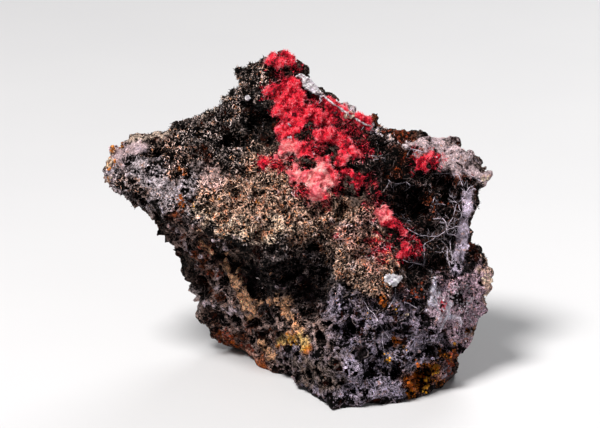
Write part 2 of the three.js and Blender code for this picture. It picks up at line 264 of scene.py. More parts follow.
# the coatings of the front, each laid over those before it
COATINGS = {
    "grey_druse": Coating(tone(4, 3, 3), tone(200, 180, 174), 0.15, 0.8, 0.04, [
        (-17, 20, 6), (-12, 25, 5), (-23, 18, 4), (-13, 16, 5),
    ], 1.2),
    "summit_druse": Coating(tone(4, 3, 3), tone(206, 184, 176), 0.14, 0.7, 0.04, [
        (-9.4, 31, 3.8), (-5.5, 32.5, 3),
    ], 0.2),
    "shoulder_druse": Coating(tone(3, 2, 2), tone(186, 170, 158), 0.16, 0.5, 0, [
        (-18.4, 25, 1.8), (-15.6, 26.2, 1.6),
    ], 2.0),
    # partly painted shade: the dark rock of the concave hollows gets a still darker ground and a dim,
    # thin crust
    "cavern": Coating(tone(3, 2, 2), tone(84, 70, 66), 0.12, 0.8, 0, [
        (-8, 23, 3.4), (-9, 20, 3), (-14, 18, 2), (-29, 16, 2), (3.6, 20.6, 1.5), (7.6, 12.4, 1.4),
        (0.6, 16.8, 1.2), (5.8, 24, 1.3),
    ]),
    "brow_recess": Coating(tone(7, 5, 6), tone(150, 134, 132), 0.26, 1.1, 0.06, [
        (-2, -7, 5), (3, -8, 6), (5, -12, 5), (-6, -10, 3), (1, -16, 4), (8, -15, 3), (-8, -14, 2.5),
    ]),
    # partly painted shade: the dark rock of the deep right hollow gets a near-black ground and a dim,
    # sparse crust
    "right_hollow": Coating(tone(1, 0, 0), tone(104, 82, 80), 0.06, 1.0, 0, [
        (22, 10, 5), (27, 8, 6), (32, 8, 5), (20, 5, 4), (28, 2, 5), (32, -2, 4), (25, -2, 3.5),
        (27, -8, 4), (31, -9, 3.5), (17, 12, 3), (13, 16, 3), (18, 18, 3), (37, -6, 2), (34, -8, 2),
    ]),
    # partly painted shade: the dark rock under the ledge gets a darker ground and a dim crust
    "under_ledge": Coating(tone(3, 2, 2), tone(104, 84, 82), 0.16, 1.0, 0, [
        (25, -12, 3), (22, -12, 2.4), (28, -10, 2),
    ]),
    "rust": Coating(tone(16, 4, 1), tone(140, 64, 30), 0.44, 0.5, 0, [
        (-21, 1, 1.8), (-18, -7.5, 2.3), (-15, -11, 1.8), (-20, -4, 1.8), (17, 23, 2), (21, 19.5, 2.2),
        (23, 15, 2), (20, 12, 1.6), (27.5, 5, 1.6), (33, 11, 1.8), (36, 12, 1.3), (21, -13, 1.8),
        (24, -15, 1.8), (-19, 15, 1.5), (18.5, -7, 1.3), (31, 5, 1.5), (19, -5.5, 1.2),
    ]),
    "rusty_knob": Coating(tone(20, 6, 2), tone(166, 84, 44), 0.5, 0.4, 0, [(15.6, 24, 1.4)], 1.4, 0.5),
    "rusty_foot": Coating(tone(56, 20, 7), tone(194, 96, 34), 0.7, 0.2, 0, [
        (-15.5, -23, 2), (-13, -24.5, 2), (-10.5, -26.5, 2), (-8, -28.5, 2), (-6, -30, 1.4),
    ]),
    "undercut": Coating(tone(16, 6, 3), tone(206, 174, 166), 0.24, 1.5, 0.12, [
        (-24, -1, 3), (-19, -9, 3), (-16, -14, 3.4), (-13, -19, 3.4), (-8, -23, 4), (-3, -27, 4),
        (-6, -19, 3), (2, -20, 4), (6, -22, 4),
    ]),
    "undercut_rim": Coating(tone(18, 8, 4), tone(150, 122, 114), 0.26, 0.8, 0.0, [
        (-26.2, -4.5, 1.7), (-19.2, -19.6, 2), (-18, -21.6, 1.4),
    ], 1.2),
    "arm_crust": Coating(tone(10, 5, 3), tone(242, 224, 230), 0.08, 0.7, 0.42, [
        (-37, 13, 4), (-34, 14.5, 4), (-33, 9.5, 4), (-29, 8, 3.6), (-25, 6, 3.4), (-28, 12, 3),
        (-22.5, 9, 3.6), (-19, 8, 3), (-22, 3.5, 2.6), (-26, 14, 2.4), (-37, 8, 3),
    ]),
    "arm_gap": Coating(tone(6, 3, 2), tone(204, 170, 156), 0.28, 1.1, 0.0, [
        (-29.5, 16.6, 2), (-26.8, 16, 2.2), (-24, 14.4, 2), (-25.5, 11.6, 1.6), (-33.4, 7.4, 1.5),
        (-31, 6.6, 1.3), (-35.6, 11.2, 0.9), (-34, 10, 0.9), (-32.4, 9.4, 0.8), (-37.4, 8.4, 0.9),
    ], 0.4, 0.6),
    "lower_crust": Coating(tone(4, 2, 2), tone(214, 198, 220), 0.06, 0.9, 0.42, [
        (21, -22, 6), (27, -21, 6), (15, -27, 6), (10, -30, 6), (18, -31, 5), (26, -29, 5),
        (32, -23, 4.5), (4, -31, 5), (1, -27, 4), (12, -21, 5), (9, -16, 3.5), (16, -17, 3.5),
        (24, -17, 4),
    ]),
    "open_net": Coating(tone(2, 1, 1), tone(186, 168, 188), 0.02, 1.3, 0.12, [
        (22, -16, 3.4), (18, -19, 3), (13, -17, 3), (25, -20, 2.4), (10, -20, 3), (29, -27, 2),
    ]),
    "granular_block": Coating(tone(10, 5, 7), tone(226, 190, 206), 0.68, 0.2, 0, [
        (31, -14, 4), (35, -12, 4.5), (37.5, -18, 4), (33, -20, 4), (29, -17, 3), (39.5, -10, 3),
        (30, -11, 2), (37, -24, 3.5),
    ]),
    "frosted_ridge": Coating(tone(60, 50, 62), tone(236, 230, 246), 0.9, 0.1, 0, [
        (27.6, -10.6, 0.8), (28, -12.6, 1), (27.6, -15, 1.2), (29, -17.6, 1.4), (31.6, -17.4, 1.2),
    ]),
    # partly painted light: the block's right edges get a pale crust where the rim light falls
    "tan_edge": Coating(tone(60, 30, 20), tone(226, 188, 168), 0.7, 0.1, 0, [
        (39.9, -6.4, 1.2), (39.8, -8.6, 1.1), (39.9, -11.6, 0.9), (39.2, -14.6, 0.8), (37, -22, 1.2),
    ], 0.4),
    # partly painted shade: the dark rock in the deepest holes is painted near black, with no crust
    "black_holes": Coating(tone(1, 1, 1), tone(60, 48, 52), 0.0, 1.4, 0, [
        (33, -14.1, 1.3), (38.4, -11.2, 0.5), (20, -28.4, 1), (12.8, -24.6, 1.6), (28, -24.2, 1.2),
        (33.6, -9.4, 0.9), (30.6, -25.6, 1.2), (36.4, -7.4, 1.3), (34.8, -8.2, 1.1),
        (32, -9.2, 0.9), (30.2, -9.6, 0.8), (17.6, -29.4, 0.7), (-8.8, -9.4, 1.4),
        (-9.4, -11.6, 1.2), (-7, -15.4, 1.2), (-6.4, -18, 1.1), (-5.6, -20.4, 0.9), (1.6, -11, 1.6),
        (3, -13.6, 1.5),
    ], 0.0, 0.5),
    "pillar": Coating(tone(18, 12, 14), tone(222, 206, 228), 0.86, 0.0, 0, [
        (35.8, 7.4, 1), (35.5, 6, 1.2), (35.1, 4.4, 1.2), (35, 3, 1.3), (34.8, 1.4, 1.2),
        (34.7, 0, 1.3), (34.4, -1.6, 1.3), (34.2, -3, 1.5), (33.8, -4.6, 1.5), (33.5, -6, 1.5),
        (33, -8, 1.2),
    ], 0.0, 0.4),
    "pale_lump": Coating(tone(50, 22, 16), tone(224, 198, 202), 0.79, 0.0, 0, [
        (26, 17.5, 2.2), (29, 17.5, 2.4), (32, 16, 2.8), (35, 14, 2.6), (31, 14, 2), (37, 12.2, 2),
        (33, 12.4, 1.6), (39.5, 10.6, 1.6), (24, 17.4, 1.2), (34.8, 16.8, 1.4),
    ], 0.45, 0.7),
    "lump_pits": Coating(tone(3, 2, 2), tone(110, 60, 44), 0.1, 1.1, 0, [
        (29.4, 16.2, 0.5), (32.6, 14.9, 0.5), (34.2, 13.2, 0.45), (27.4, 18, 0.4), (31, 17, 0.35),
        (36.6, 12.8, 0.35),
    ], 0.0, 0.6),
    "pale_rim": Coating(tone(60, 40, 38), tone(250, 232, 236), 0.86, 0.0, 0, [
        (14.4, 22, 0.4), (15.5, 21.4, 0.6), (17, 20.4, 0.5), (19, 19.2, 0.45), (20, 18.6, 0.4),
        (21, 18, 0.5), (22.6, 17.4, 0.6), (4.4, 28.3, 0.5), (5.2, 27.5, 0.5), (6, 26.8, 0.5),
        (7, 26, 0.45), (8, 25.2, 0.5), (9.4, 24.4, 0.5), (10.6, 23.6, 0.7), (12, 23, 0.6),
        (9.6, 25.2, 0.9), (11, 24.2, 0.9),
    ], 0.5, 0.6),
    "felt": Coating(tone(12, 7, 5), tone(208, 174, 154), 0.36, 0.6, 0, [
        (-17, 6, 4), (-12, 4.5, 4.6), (-6.5, 4, 5), (-1.5, 5, 5), (0.5, 1, 4.5), (-10, 9, 4),
        (-4.5, 11, 4.5), (4.5, 3, 4.5), (-14, 7, 3.5), (10, 2, 4), (13, -2.5, 4), (12, -7.5, 3.5),
        (15.5, -11, 3.2), (8, -3.5, 3), (15, 2, 3), (0, 8, 4), (18, -7, 2.5), (-8.5, 14, 2.6),
    ]),
    "pink_crust": Coating(tone(50, 30, 28), tone(232, 194, 188), 0.74, 0.2, 0, [
        (-17.8, 11.4, 2), (-16.4, 9.4, 1.6), (-19.4, 9.6, 1.2),
    ]),
    "rosy_felt": Coating(tone(14, 6, 6), tone(222, 176, 164), 0.36, 0.6, 0, [
        (11, -1, 2.4), (13.4, -4.4, 2.6), (14, 2, 2.4), (16, -8, 1.8), (3, 5.6, 2),
    ]),
    # partly painted light: the felt along the brow's upward-facing crest gets a paler, fuller crust
    # where light falls on it
    "brow_felt": Coating(tone(14, 8, 6), tone(234, 208, 186), 0.5, 0.5, 0, [
        (-21, 4.5, 1.6), (-18, 2.6, 2), (-14.5, 1, 2.2), (-11, -0.2, 2.2), (-7, -0.6, 2),
        (-3.5, 1.2, 2),
    ]),
    "rust_cells": Coating(tone(38, 13, 5), tone(128, 66, 38), 0.34, 1.3, 0, [
        (-25.3, 2.8, 1.4), (-23.9, 1.3, 1), (-24.8, -1.4, 1.1), (-19.9, -7.6, 1.5),
        (-20.8, -5.8, 1), (-18.8, -9.6, 1.2), (-19.6, -12.6, 1), (-16.6, -14.6, 1),
        (-10, -20.6, 1.3), (-5.4, -22, 0.9),
    ], 0.0, 0.6),
    "lilac_ridges": Coating(tone(24, 14, 12), tone(222, 200, 208), 0.78, 0.2, 0, [
        (-19.5, -15.9, 0.8), (-17.7, -16.5, 0.6), (-15.8, -17, 0.6), (-14, -17.4, 0.9),
        (-11.9, -18, 0.7), (-4.65, -10.3, 0.5), (-3.8, -11.8, 0.5), (-16.6, -8.6, 0.5),
        (-16.8, -10.6, 0.5), (-17, -12.4, 0.5), (-26.6, 0.6, 0.5), (-25.2, -1, 0.5),
        (-24.4, -2.6, 0.5), (-23.6, -4, 0.5), (-22, -5, 0.55), (-20.4, -6, 0.5), (-21.6, -7.4, 0.4),
        (-21.4, -9, 0.4), (-20.8, -10.6, 0.4), (-12.5, -1.8, 0.5), (-14.6, -3.4, 0.6),
        (-16.6, -2.4, 0.6),
    ], 0.0, 0.4),
    "tan_bands": Coating(tone(60, 24, 10), tone(255, 194, 150), 0.76, 0.3, 0, [
        (-20.2, -2.9, 0.7), (-18.9, -3.7, 0.7), (-17.7, -4.75, 0.6), (-14.4, -5.2, 0.6),
        (-14.2, -6.8, 0.9), (-13.8, -8.4, 1.1), (-13.5, -9.9, 1.3), (-13, -11.4, 1),
        (-11.7, -13, 1), (-11.1, -14.5, 1.4), (-10.4, -16.1, 1.5), (-9.6, -17.6, 1.2),
        (-8.4, -15.4, 0.6), (-5.2, -14.3, 0.7), (-4, -15.9, 0.8), (-2.8, -14.9, 1),
        (-2, -16.3, 1.2), (-1.3, -17.8, 1.2), (-0.5, -19.4, 1.4), (-0.1, -21, 1.5),
        (-7.75, -24.2, 0.9), (-6.7, -25.4, 1), (-5.7, -26.7, 0.9), (-8, -13.6, 0.6),
    ], 0.0, 0.75),
    # partly painted light: the arm's upward-facing top edge gets a paler crust where light falls on it
    "tan_top": Coating(tone(40, 24, 16), tone(226, 200, 182), 0.7, 0.2, 0, [
        (-34, 18.8, 1.6), (-31.6, 19.6, 1.5), (-29, 20, 1.4), (-27, 20, 1.2),
    ], 0.5),
    "amber_edge": Coating(tone(60, 20, 4), tone(232, 136, 40), 0.8, 0.2, 0, [
        (-1.8, -22.2, 0.9), (1.9, -24.4, 1), (2.3, -25.4, 0.8), (-0.6, -21.4, 0.6), (-3.6, -23.9, 0.7),
    ], 0.0, 0.6),
    "yellow": Coating(tone(150, 84, 20), tone(252, 208, 132), 0.74, 0.1, 0, [
        (0.3, -22, 0.9), (0.7, -23, 1), (-2.2, -22.9, 0.8), (-3.3, -23.2, 0.9), (1.1, -24.1, 0.8),
        (-1, -22.6, 0.6),
    ], 0.0, 0.5),
    "arm_cap": Coating(tone(30, 18, 14), tone(210, 184, 188), 0.84, 0.1, 0, [
        (-36.4, 15.4, 1.7), (-34.6, 16.4, 1.6), (-32.6, 16.9, 1.4), (-37.4, 13.6, 1.2),
        (-38.6, 10.4, 1),
    ], 0.4, 0.6),
    "cream_tip": Coating(tone(110, 54, 18), tone(255, 206, 160), 0.8, 0.1, 0, [
        (-39, 14.6, 0.8), (-38.9, 13, 0.7), (-38.4, 16.6, 0.9), (-39.6, 10.4, 0.6), (-37.2, 17.6, 0.8),
    ], 0.8, 0.5),
    "ochre": Coating(tone(28, 10, 3), tone(246, 138, 22), 0.52, 0.9, 0, [
        (24.5, -31, 2.6), (28, -29, 2), (23.5, -34, 1.6), (29.5, -32, 1.6), (17.5, -14.5, 1),
        (20, -23, 1), (-24.5, 12, 0.5), (-23.5, 5, 0.9), (31, -26, 1.3), (36.2, -21, 0.8),
        (34.6, -24, 0.8), (33.2, -26.6, 0.9),
    ]),
    "red_stain": Coating(tone(18, 3, 4), tone(196, 40, 60), 0.34, 0.5, 0, [
        (-3.5, 13.5, 1.4), (-1, 12.4, 1.4), (3, 16.5, 2), (7, 12.5, 1.4), (10.8, 17, 2),
        (7, 20.5, 2), (3, 26, 2), (8, 22, 2), (11.5, 20.5, 1.6), (13.5, 16.5, 1.8),
        (14.5, 9.5, 1.6), (8, 8.5, 1.4), (1.4, 7.6, 1.4), (1, 9.6, 1.3), (-0.6, 11, 1.2),
        (-2, 16, 1.3), (4, 6.2, 1.5), (5.6, 4.6, 1), (17, 4.6, 1.5), (-2.6, 31.6, 1.3),
        (0.2, 33.4, 1), (24.5, 14.6, 1.4), (16, 5, 2), (17, -4.2, 1.7), (15.3, -2, 1.2),
        (22.5, -1, 1), (8.1, -1.2, 0.8), (29.2, -15.4, 0.8),
    ]),
}
# the coatings that run on round the edges of the face, where the others stop
WRAPPED = [
    "pale_lump", "arm_cap", "cream_tip", "tan_top", "tan_edge", "pale_rim", "granular_block",
]
# where brown earth dulls the crust of the lower front: across, up, radius
BROWNED = [
    (1, -27.6, 1.8), (3.6, -28.4, 2.6), (6, -31, 3), (1.6, -30.4, 2.2), (-1.6, -28, 1.6),
    (6.8, -27.4, 1.8),
]
# where the broken edges stand out or fall back: across, up, radius, millimetres
EDGES = [
    (-38.6, 15.6, 1.7, 3), (-39.2, 13, 1.2, 1.2), (-35.6, 20, 1.6, -1.4), (-32, 20.6, 1.8, -0.6),
    (-35.5, 5.4, 2.6, -1.6), (-21.6, -12.4, 2.2, -3.4), (-28.4, -2, 1.4, -1.2),
    (-26, -5.2, 1.2, 0.8), (-19.4, -19.6, 2, 1.4), (-10.6, 33.4, 1.8, 1.5), (-21, -17.5, 1.4, 0.8),
    (33.8, -28, 2, -1.8), (33.6, -32, 1.6, -2), (39, -15, 1.6, -1), (36, 15.4, 1.4, 0.6),
    (-39.2, 10.4, 1.2, 1.2), (10.6, 24.4, 1.4, 0.4),
]
BROWN_EARTH = tone(142, 122, 114)
RUSTY_PIT = tone(52, 22, 9)
RUSTY_CRUST = tone(166, 92, 46)
PALE_CRUST = tone(214, 196, 196)
ROCK_VOXEL = 0.41
ROCK_TRIANGLES = 190000


def places_of(mesh):
    """The corners of a mesh in millimetres."""
    places = np.zeros(len(mesh.vertices) * 3)
    mesh.vertices.foreach_get("co", places)
    return places.reshape(-1, 3) / MM


def normals_of(mesh):
    """The outward normals at the corners of a mesh."""
    normals = np.zeros(len(mesh.vertices) * 3)
    mesh.vertices.foreach_get("normal", normals)
    return normals.reshape(-1, 3)


def share_of(mesh, name):
    """The value of a marked share at each corner of a mesh."""
    values = np.zeros(len(mesh.vertices), np.float32)
    mesh.attributes[name].data.foreach_get("value", values)
    return values


def mark(mesh, name, values):
    """Marks each corner of a mesh with a share of that name."""
    layer = mesh.attributes.new(name, "FLOAT", "POINT")
    layer.data.foreach_set("value", values.astype(np.float32))


def dye(mesh, name, colours):
    """Gives each corner of a mesh a colour of that name."""
    layer = mesh.color_attributes.new(name, "FLOAT_COLOR", "POINT")
    opaque = np.c_[colours, np.ones(len(colours))]
    layer.data.foreach_set("color", opaque.astype(np.float32).ravel())


def spots_of(*names):
    """The spots of the coatings of these names."""
    return [spot for name in names for spot in COATINGS[name].spots]


def coat(mesh):
    """Marks each corner with what lies there: the colours of pit and crust, and every share."""
    count = len(mesh.vertices)
    places = places_of(mesh)
    _, _, out = face_places(places)
    facing = normals_of(mesh) @ OUT
    # the front ends where the skin turns away from the face, and sooner where it lies far back
    front = np.clip((facing + 0.35 + 0.06 * (out + 12) + 0.2 * waves(places, 6, 9)) / 0.4, 0, 1)
    wrapped = patch(places, spots_of(*WRAPPED), 0.6)
    front = np.maximum(front, wrapped * np.clip((facing + 0.5) / 0.3, 0, 1))
    pit = np.tile(BARE_ROCK.pit, (count, 1))
    crust = np.tile(BARE_ROCK.crust, (count, 1))
    kinds = ("cover", "cavern", "sheet", "rise")
    shares = {name: np.full(count, getattr(BARE_ROCK, name)) for name in kinds}
    for coating in COATINGS.values():
        inside = patch(places, coating.spots, coating.loose)
        pit += (coating.pit - pit) * inside[:, None]
        crust += (coating.crust - crust) * inside[:, None]
        for name, values in shares.items():
            values += (getattr(coating, name) - values) * inside
    crust += (BROWN_EARTH - crust) * patch(places, BROWNED)[:, None]
    # behind, drifts of rust and of pale crust lie over a plain broken ground
    back = 1 - front
    frayed = 0.4 * waves(places, 3.2, 25) + 0.3 * waves(places, 1.4, 26)
    rusty = np.clip(waves(places, 13, 21) * 1.2 - 0.1 + frayed, 0, 0.8)
    pale = np.clip(waves(places, 15, 22) * 1.4 - 0.4 + frayed, 0, 0.9) * (1 - rusty)
    back_pit = BROKEN_BACK.pit + (RUSTY_PIT - BROKEN_BACK.pit) * rusty[:, None]
    back_crust = BROKEN_BACK.crust + (RUSTY_CRUST - BROKEN_BACK.crust) * rusty[:, None]
    back_crust = back_crust + (PALE_CRUST - back_crust) * pale[:, None]
    pit += (back_pit - pit) * back[:, None]
    crust += (back_crust - crust) * back[:, None]
    for name, values in shares.items():
        values += (getattr(BROKEN_BACK, name) - values) * back
    for across, up, radius, millimetres in EDGES:
        shares["rise"] += millimetres * patch(places, [(across, up, radius)], 0.4)
    shares["cover"] += (0.3 * pale + 0.25 * waves(places, 8, 24)) * back
    shares["cavern"] += 0.9 * np.clip(waves(places, 12, 23) * 1.4 - 0.2, 0, 1) * back
    dye(mesh, "pit", pit)
    dye(mesh, "crust", crust)
    # where the back is broken in broad, shallow scars
    scarred = back * np.clip((-facing - 0.5) / 0.3, 0, 1)
    for name, values in {**shares, "front": front, "scarred": scarred}.items():
        mark(mesh, name, values)


def merged_copy(node, name):
    """A copy of a CAD solid with its loose triangles joined up."""
    mesh = frame["nodes"][node].data.copy()
    mesh.name = name
    mesh.materials.clear()
    whole = bmesh.new()
    whole.from_mesh(mesh)
    bmesh.ops.remove_doubles(whole, verts=whole.verts, dist=1e-6)
    whole.to_mesh(mesh)
    whole.free()
    return placed(name, mesh)


def placed(name, mesh):
    """An object for a mesh whose places are already in its vertices."""
    made = bpy.data.objects.new(name, mesh)
    bpy.context.scene.collection.objects.link(made)
    return made


def baked(thing):
    """Replaces an object's mesh by what its modifiers make of it, and removes them."""
    graph = bpy.context.evaluated_depsgraph_get()
    ready = thing.evaluated_get(graph)
    mesh = bpy.data.meshes.new_from_object(ready, preserve_all_data_layers=True, depsgraph=graph)
    thing.modifiers.clear()
    old = thing.data
    thing.data = mesh
    bpy.data.meshes.remove(old)
    return thing


def remeshed(thing, voxel):
    """Covers an object with an even grid of faces about that many millimetres across."""
    grid = thing.modifiers.new("grid", "REMESH")
    grid.mode = "VOXEL"
    grid.voxel_size = voxel * MM
    return baked(thing)


def new_tree(name, sizes):
    """A geometry tree with a mesh in, a mesh out, and these named sizes as its inputs."""
    tree = bpy.data.node_groups.new(name, "GeometryNodeTree")
    tree.interface.new_socket("Geometry", in_out="INPUT", socket_type="NodeSocketGeometry")
    tree.interface.new_socket("Geometry", in_out="OUTPUT", socket_type="NodeSocketGeometry")
    for size, value in sizes.items():
        kind = "NodeSocketInt" if isinstance(value, int) else "NodeSocketFloat"
        tree.interface.new_socket(size, in_out="INPUT", socket_type=kind).default_value = value
    w = Wiring(tree)
    return w, w.node("NodeGroupInput").outputs, w.node("NodeGroupOutput").inputs[0]


def shaped(thing, w, **sizes):
    """Runs a geometry tree on an object with these values for its named inputs."""
    modifier = thing.modifiers.new(w.tree.name, "NODES")
    modifier.node_group = w.tree
    for item in w.tree.interface.items_tree:
        value = sizes.get(item.name.replace(" ", "_").lower())
        if item.in_out == "INPUT" and value is not None:
            modifier[item.identifier] = value
    return baked(thing)


def named(w, name):
    """In a geometry tree: the marked share of that name."""
    return w.node("GeometryNodeInputNamedAttribute", data_type="FLOAT", Name=name).outputs[0]


def stored(w, geometry, name, value, domain="POINT"):
    """In a geometry tree: marks a share of that name."""
    kind = "GeometryNodeStoreNamedAttribute"
    given = {"Geometry": geometry, "Name": name, "Value": value}
    return w.node(kind, data_type="FLOAT", domain=domain, **given).outputs[0]


BUMP_SIZE = 5.0
KNOB_SIZE = 2.1


def swell(w, place):
    """The broken, bumpy run of the surface, in millimetres out from the plain form."""
    bumps = w.minus(w.noise(place, BUMP_SIZE, 3.0, 0.5), 0.5)
    knobs = w.noise(w.warp(place, 2.0, 1.2), KNOB_SIZE, 3.0, 0.6)
    knobs = w.times(w.ramp(knobs, 0.36, 0.62, 0.3, 1.0), named(w, "rise"))
    return w.plus(w.times(bumps, 2.2), knobs)


def pushed(w, geometry, millimetres):
    """Moves a skin along its normals."""
    normal = w.node("GeometryNodeInputNormal").outputs[0]
    offset = w.scaled(normal, w.times(millimetres, MM))
    return w.node("GeometryNodeSetPosition", Geometry=geometry, Offset=offset).outputs[0]


def etching():
    """Eats caverns with thin walls into a skin, along its normals."""
    sizes = {"Cavern Size": 4.6, "Cavern Depth": 1.9, "Cell Size": 1.7, "Cell Depth": 0.8}
    sizes |= {"Bed": 0.4, "Fracture": 9.0}
    w, given, result = new_tree("etching", sizes)
    place = w.skin_place()
    cavern = named(w, "cavern")
    depth = w.times(given["Bed"], w.ramp(named(w, "sheet"), 0.05, 0.3))
    for kind, bend in (("Cavern", 4.0), ("Cell", 1.6)):
        bent = w.warp(place, bend, bend * 0.9, 3.0)
        often = w.math("DIVIDE", 1.0, given[kind + " Size"])
        cells = w.node("ShaderNodeTexVoronoi", feature="DISTANCE_TO_EDGE", Vector=bent, Scale=often)
        hollow = w.ramp(cells.outputs["Distance"], 0.05, 0.3)
        depth = w.plus(depth, w.times(hollow, w.times(given[kind + " Depth"], cavern)))
    lift = w.minus(w.plus(swell(w, place), 0.15), depth)
    scars = None
    for size, bend in ((17.0, 9.0), (6.0, 3.0)):
        bent = w.warp(place, size, bend, 4.0)
        away = w.node("ShaderNodeTexVoronoi", Vector=bent, Scale=1 / size).outputs["Distance"]
        deep = w.times(given["Fracture"], (size / 17) ** 1.5)
        scar = w.times(w.minus(w.times(away, away), 0.25), deep)
        scars = scar if scars is None else w.plus(scars, scar)
    lumps = w.times(scars, named(w, "scarred"))
    height = w.node("ShaderNodeSeparateXYZ", place).outputs[2]
    lift = w.times(w.plus(lift, lumps), w.ramp(height, 0.6, 3.0))
    moved = pushed(w, given["Geometry"], lift)
    w.feed(result, stored(w, moved, "sunk", depth))
    return w


# the crust's sizes in millimetres, and the tints that multiply its colour
GRAIN_SIZE = 0.36
PORE_SIZE = 0.7
LATTICE_SIZE = 0.74
CRACK_SIZE = 2.4
NO_TINT = (1, 1, 1, 1)
TAN_TINT = (1.0, 0.62, 0.38, 1)
FROST_TINT = (1.0, 1.08, 1.25, 1)
CRACK_TINT = (0.3, 0.1, 0.05, 1)


def granular(w, place, colour):
    """A sugary crust: every grain has its own lightness, and some are tan, blue-white or dark."""
    one, other = w.cell(w.warp(place, 0.5, 0.3), GRAIN_SIZE)
    fine = w.ramp(w.noise(place, 0.32, 3.0, 0.8), 0.36, 0.64)
    # a crust that covers nearly all is calmer: even in tone, and with few pores
    calm = w.ramp(w.attribute("cover"), 0.72, 0.8, 0.0, 0.42)
    glow = w.plus(w.times(one, 0.55), w.times(fine, 1.1))
    glow = w.plus(glow, w.times(calm, w.minus(0.95, glow)))
    drift = w.ramp(w.noise(place, 2.6, 4.0, 0.65), 0.34, 0.66, 0.52, 1.46)
    glow = w.times(glow, drift)
    # stains of tan and of blue-white frost
    stain = w.ramp(w.noise(place, 1.1, 4.0, 0.8), 0.57, 0.62)
    frost = w.ramp(w.noise(place, 2.2, 5.0, 0.8, shift=(30, 0, 0)), 0.57, 0.62)
    tint = w.mix(w.times(stain, 0.8), NO_TINT, TAN_TINT)
    tint = w.mix(w.times(frost, 0.8), tint, FROST_TINT)
    # dark pores, a few bright sparks, and a lattice of thin walls where the rock is eaten out
    pore = w.noise(place, PORE_SIZE, 4.0, 0.8, shift=(0, 40, 0))
    pore = w.ramp(pore, 0.43, 0.47, 0.03, 1.04)
    pore = w.math("MAXIMUM", pore, w.times(calm, 1.2))
    spark = w.ramp(other, 0.93, 0.95, 1.0, 1.7)
    lattice = w.walls(w.warp(place, 0.7, 0.7, 3.0), LATTICE_SIZE)
    lattice = w.ramp(lattice, 0.045, 0.15, 1.3, 0.06)
    eaten = w.times(w.ramp(w.attribute("cavern"), 0.1, 0.6), w.ramp(drift, 1.2, 0.7))
    lattice = w.plus(w.times(w.minus(lattice, 1.0), eaten), 1.0)
    glow = w.times(w.times(glow, w.times(spark, lattice)), pore)
    # rusty cracks through the calm crusts, in places
    cracks = w.ramp(w.walls(w.warp(place, 1.6, 1.8, 4.0), CRACK_SIZE), 0.12, 0.03)
    cracks = w.times(cracks, w.ramp(w.noise(place, 3.0, 2.0), 0.45, 0.55))
    tint = w.mix(w.times(cracks, calm), tint, CRACK_TINT)
    own = w.mix(1.0, colour, tint, "MULTIPLY")
    return w.scaled(own, glow), glow


def new_finish(name, rough, gloss):
    """A material with this roughness and gloss, and the wiring and shader to colour it by."""
    made = bpy.data.materials.new(name)
    made.use_nodes = True
    w = Wiring(made.node_tree)
    shader = w.tree.nodes["Principled BSDF"].inputs
    shader["Roughness"].default_value = rough
    shader["Specular IOR Level"].default_value = gloss
    return made, w, shader


GRAIN_RELIEF = 0.5 * MM


def stone(name, pattern, rough=0.8, gloss=0.08):
    """A rough stone material. The function given wires its colour and its height."""
    made, w, shader = new_finish(name, rough, gloss)
    colour, height = pattern(w, w.millimetres())
    w.feed(shader["Base Color"], colour)
    bump = w.node("ShaderNodeBump", Strength=0.9, Distance=GRAIN_RELIEF, Height=height)
    w.feed(shader["Normal"], bump.outputs[0])
    return made


GROUND_RUST = tone(96, 36, 16)
BROAD_NET = 2.8
FINE_NET = 1.2


def crusted_skin(w, place):
    """Dark ground with a ragged crust, and a net of threads where the crust runs thin."""
    # the crust thins out in the sunk places, and holds on to the walls between the caverns
    thinned = w.ramp(w.attribute("sunk"), 0.9, 2.2, 0.0, 0.34)
    cover = w.minus(w.attribute("cover"), thinned)
    walled = w.ramp(w.attribute("sunk"), 0.8, 0.3, 0.0, 0.6)
    walled = w.times(walled, w.ramp(w.attribute("cavern"), 0.9, 1.4))
    cover = w.plus(cover, walled)
    ragged = w.ragged(place, cover)
    whole = w.ramp(ragged, 0.492, 0.508)
    broad = w.ramp(w.walls(w.warp(place, 2.6, 2.4, 3.0), BROAD_NET), 0.17, 0.1, 0.0, 0.75)
    fine = w.ramp(w.walls(w.warp(place, 1.2, 1.2, 3.0), FINE_NET), 0.11, 0.06, 0.0, 0.6)
    near = w.ramp(ragged, 0.4, 0.43)
    net = w.math("MAXIMUM", broad, w.times(fine, near))
    net = w.times(net, w.ramp(w.noise(place, 2.2, 3.0, 0.7), 0.42, 0.52))
    crusty = w.math("MAXIMUM", whole, net)
    crust, glow = granular(w, place, w.attribute("crust", colour=True))
    # painted shade: the crust and its glints darken the deeper the skin is sunk
    painted_hollow_shade = w.ramp(w.attribute("sunk"), 0.8, 2.6, 1.0, 0.22)
    # the bare ground: grainy, rusty in drifts, with a few glints
    grain = w.noise(place, 0.4, 3.0, 0.8)
    rust = w.noise(place, 3.2, 4.0, 0.7, shift=(0, 0, 60))
    rust = w.ramp(rust, 0.54, 0.62, 0.0, 0.7)
    earth = w.mix(rust, w.attribute("pit", colour=True), GROUND_RUST)
    ground = w.scaled(earth, w.ramp(grain, 0.45, 0.7, 0.12, 1.5))
    glint = w.ramp(w.cell(place, 0.26)[0], 0.93, 0.96, 0.0, 0.6)
    ground = w.mix(w.times(glint, painted_hollow_shade), ground, w.attribute("crust", colour=True))
    skin = w.mix(crusty, ground, w.scaled(crust, painted_hollow_shade))
    height = w.plus(w.times(crusty, 0.6), w.times(glow, 0.4))
    return skin, height


rock = remeshed(merged_copy("matrix", "rock"), ROCK_VOXEL)
coat(rock.data)
shaped(rock, etching())
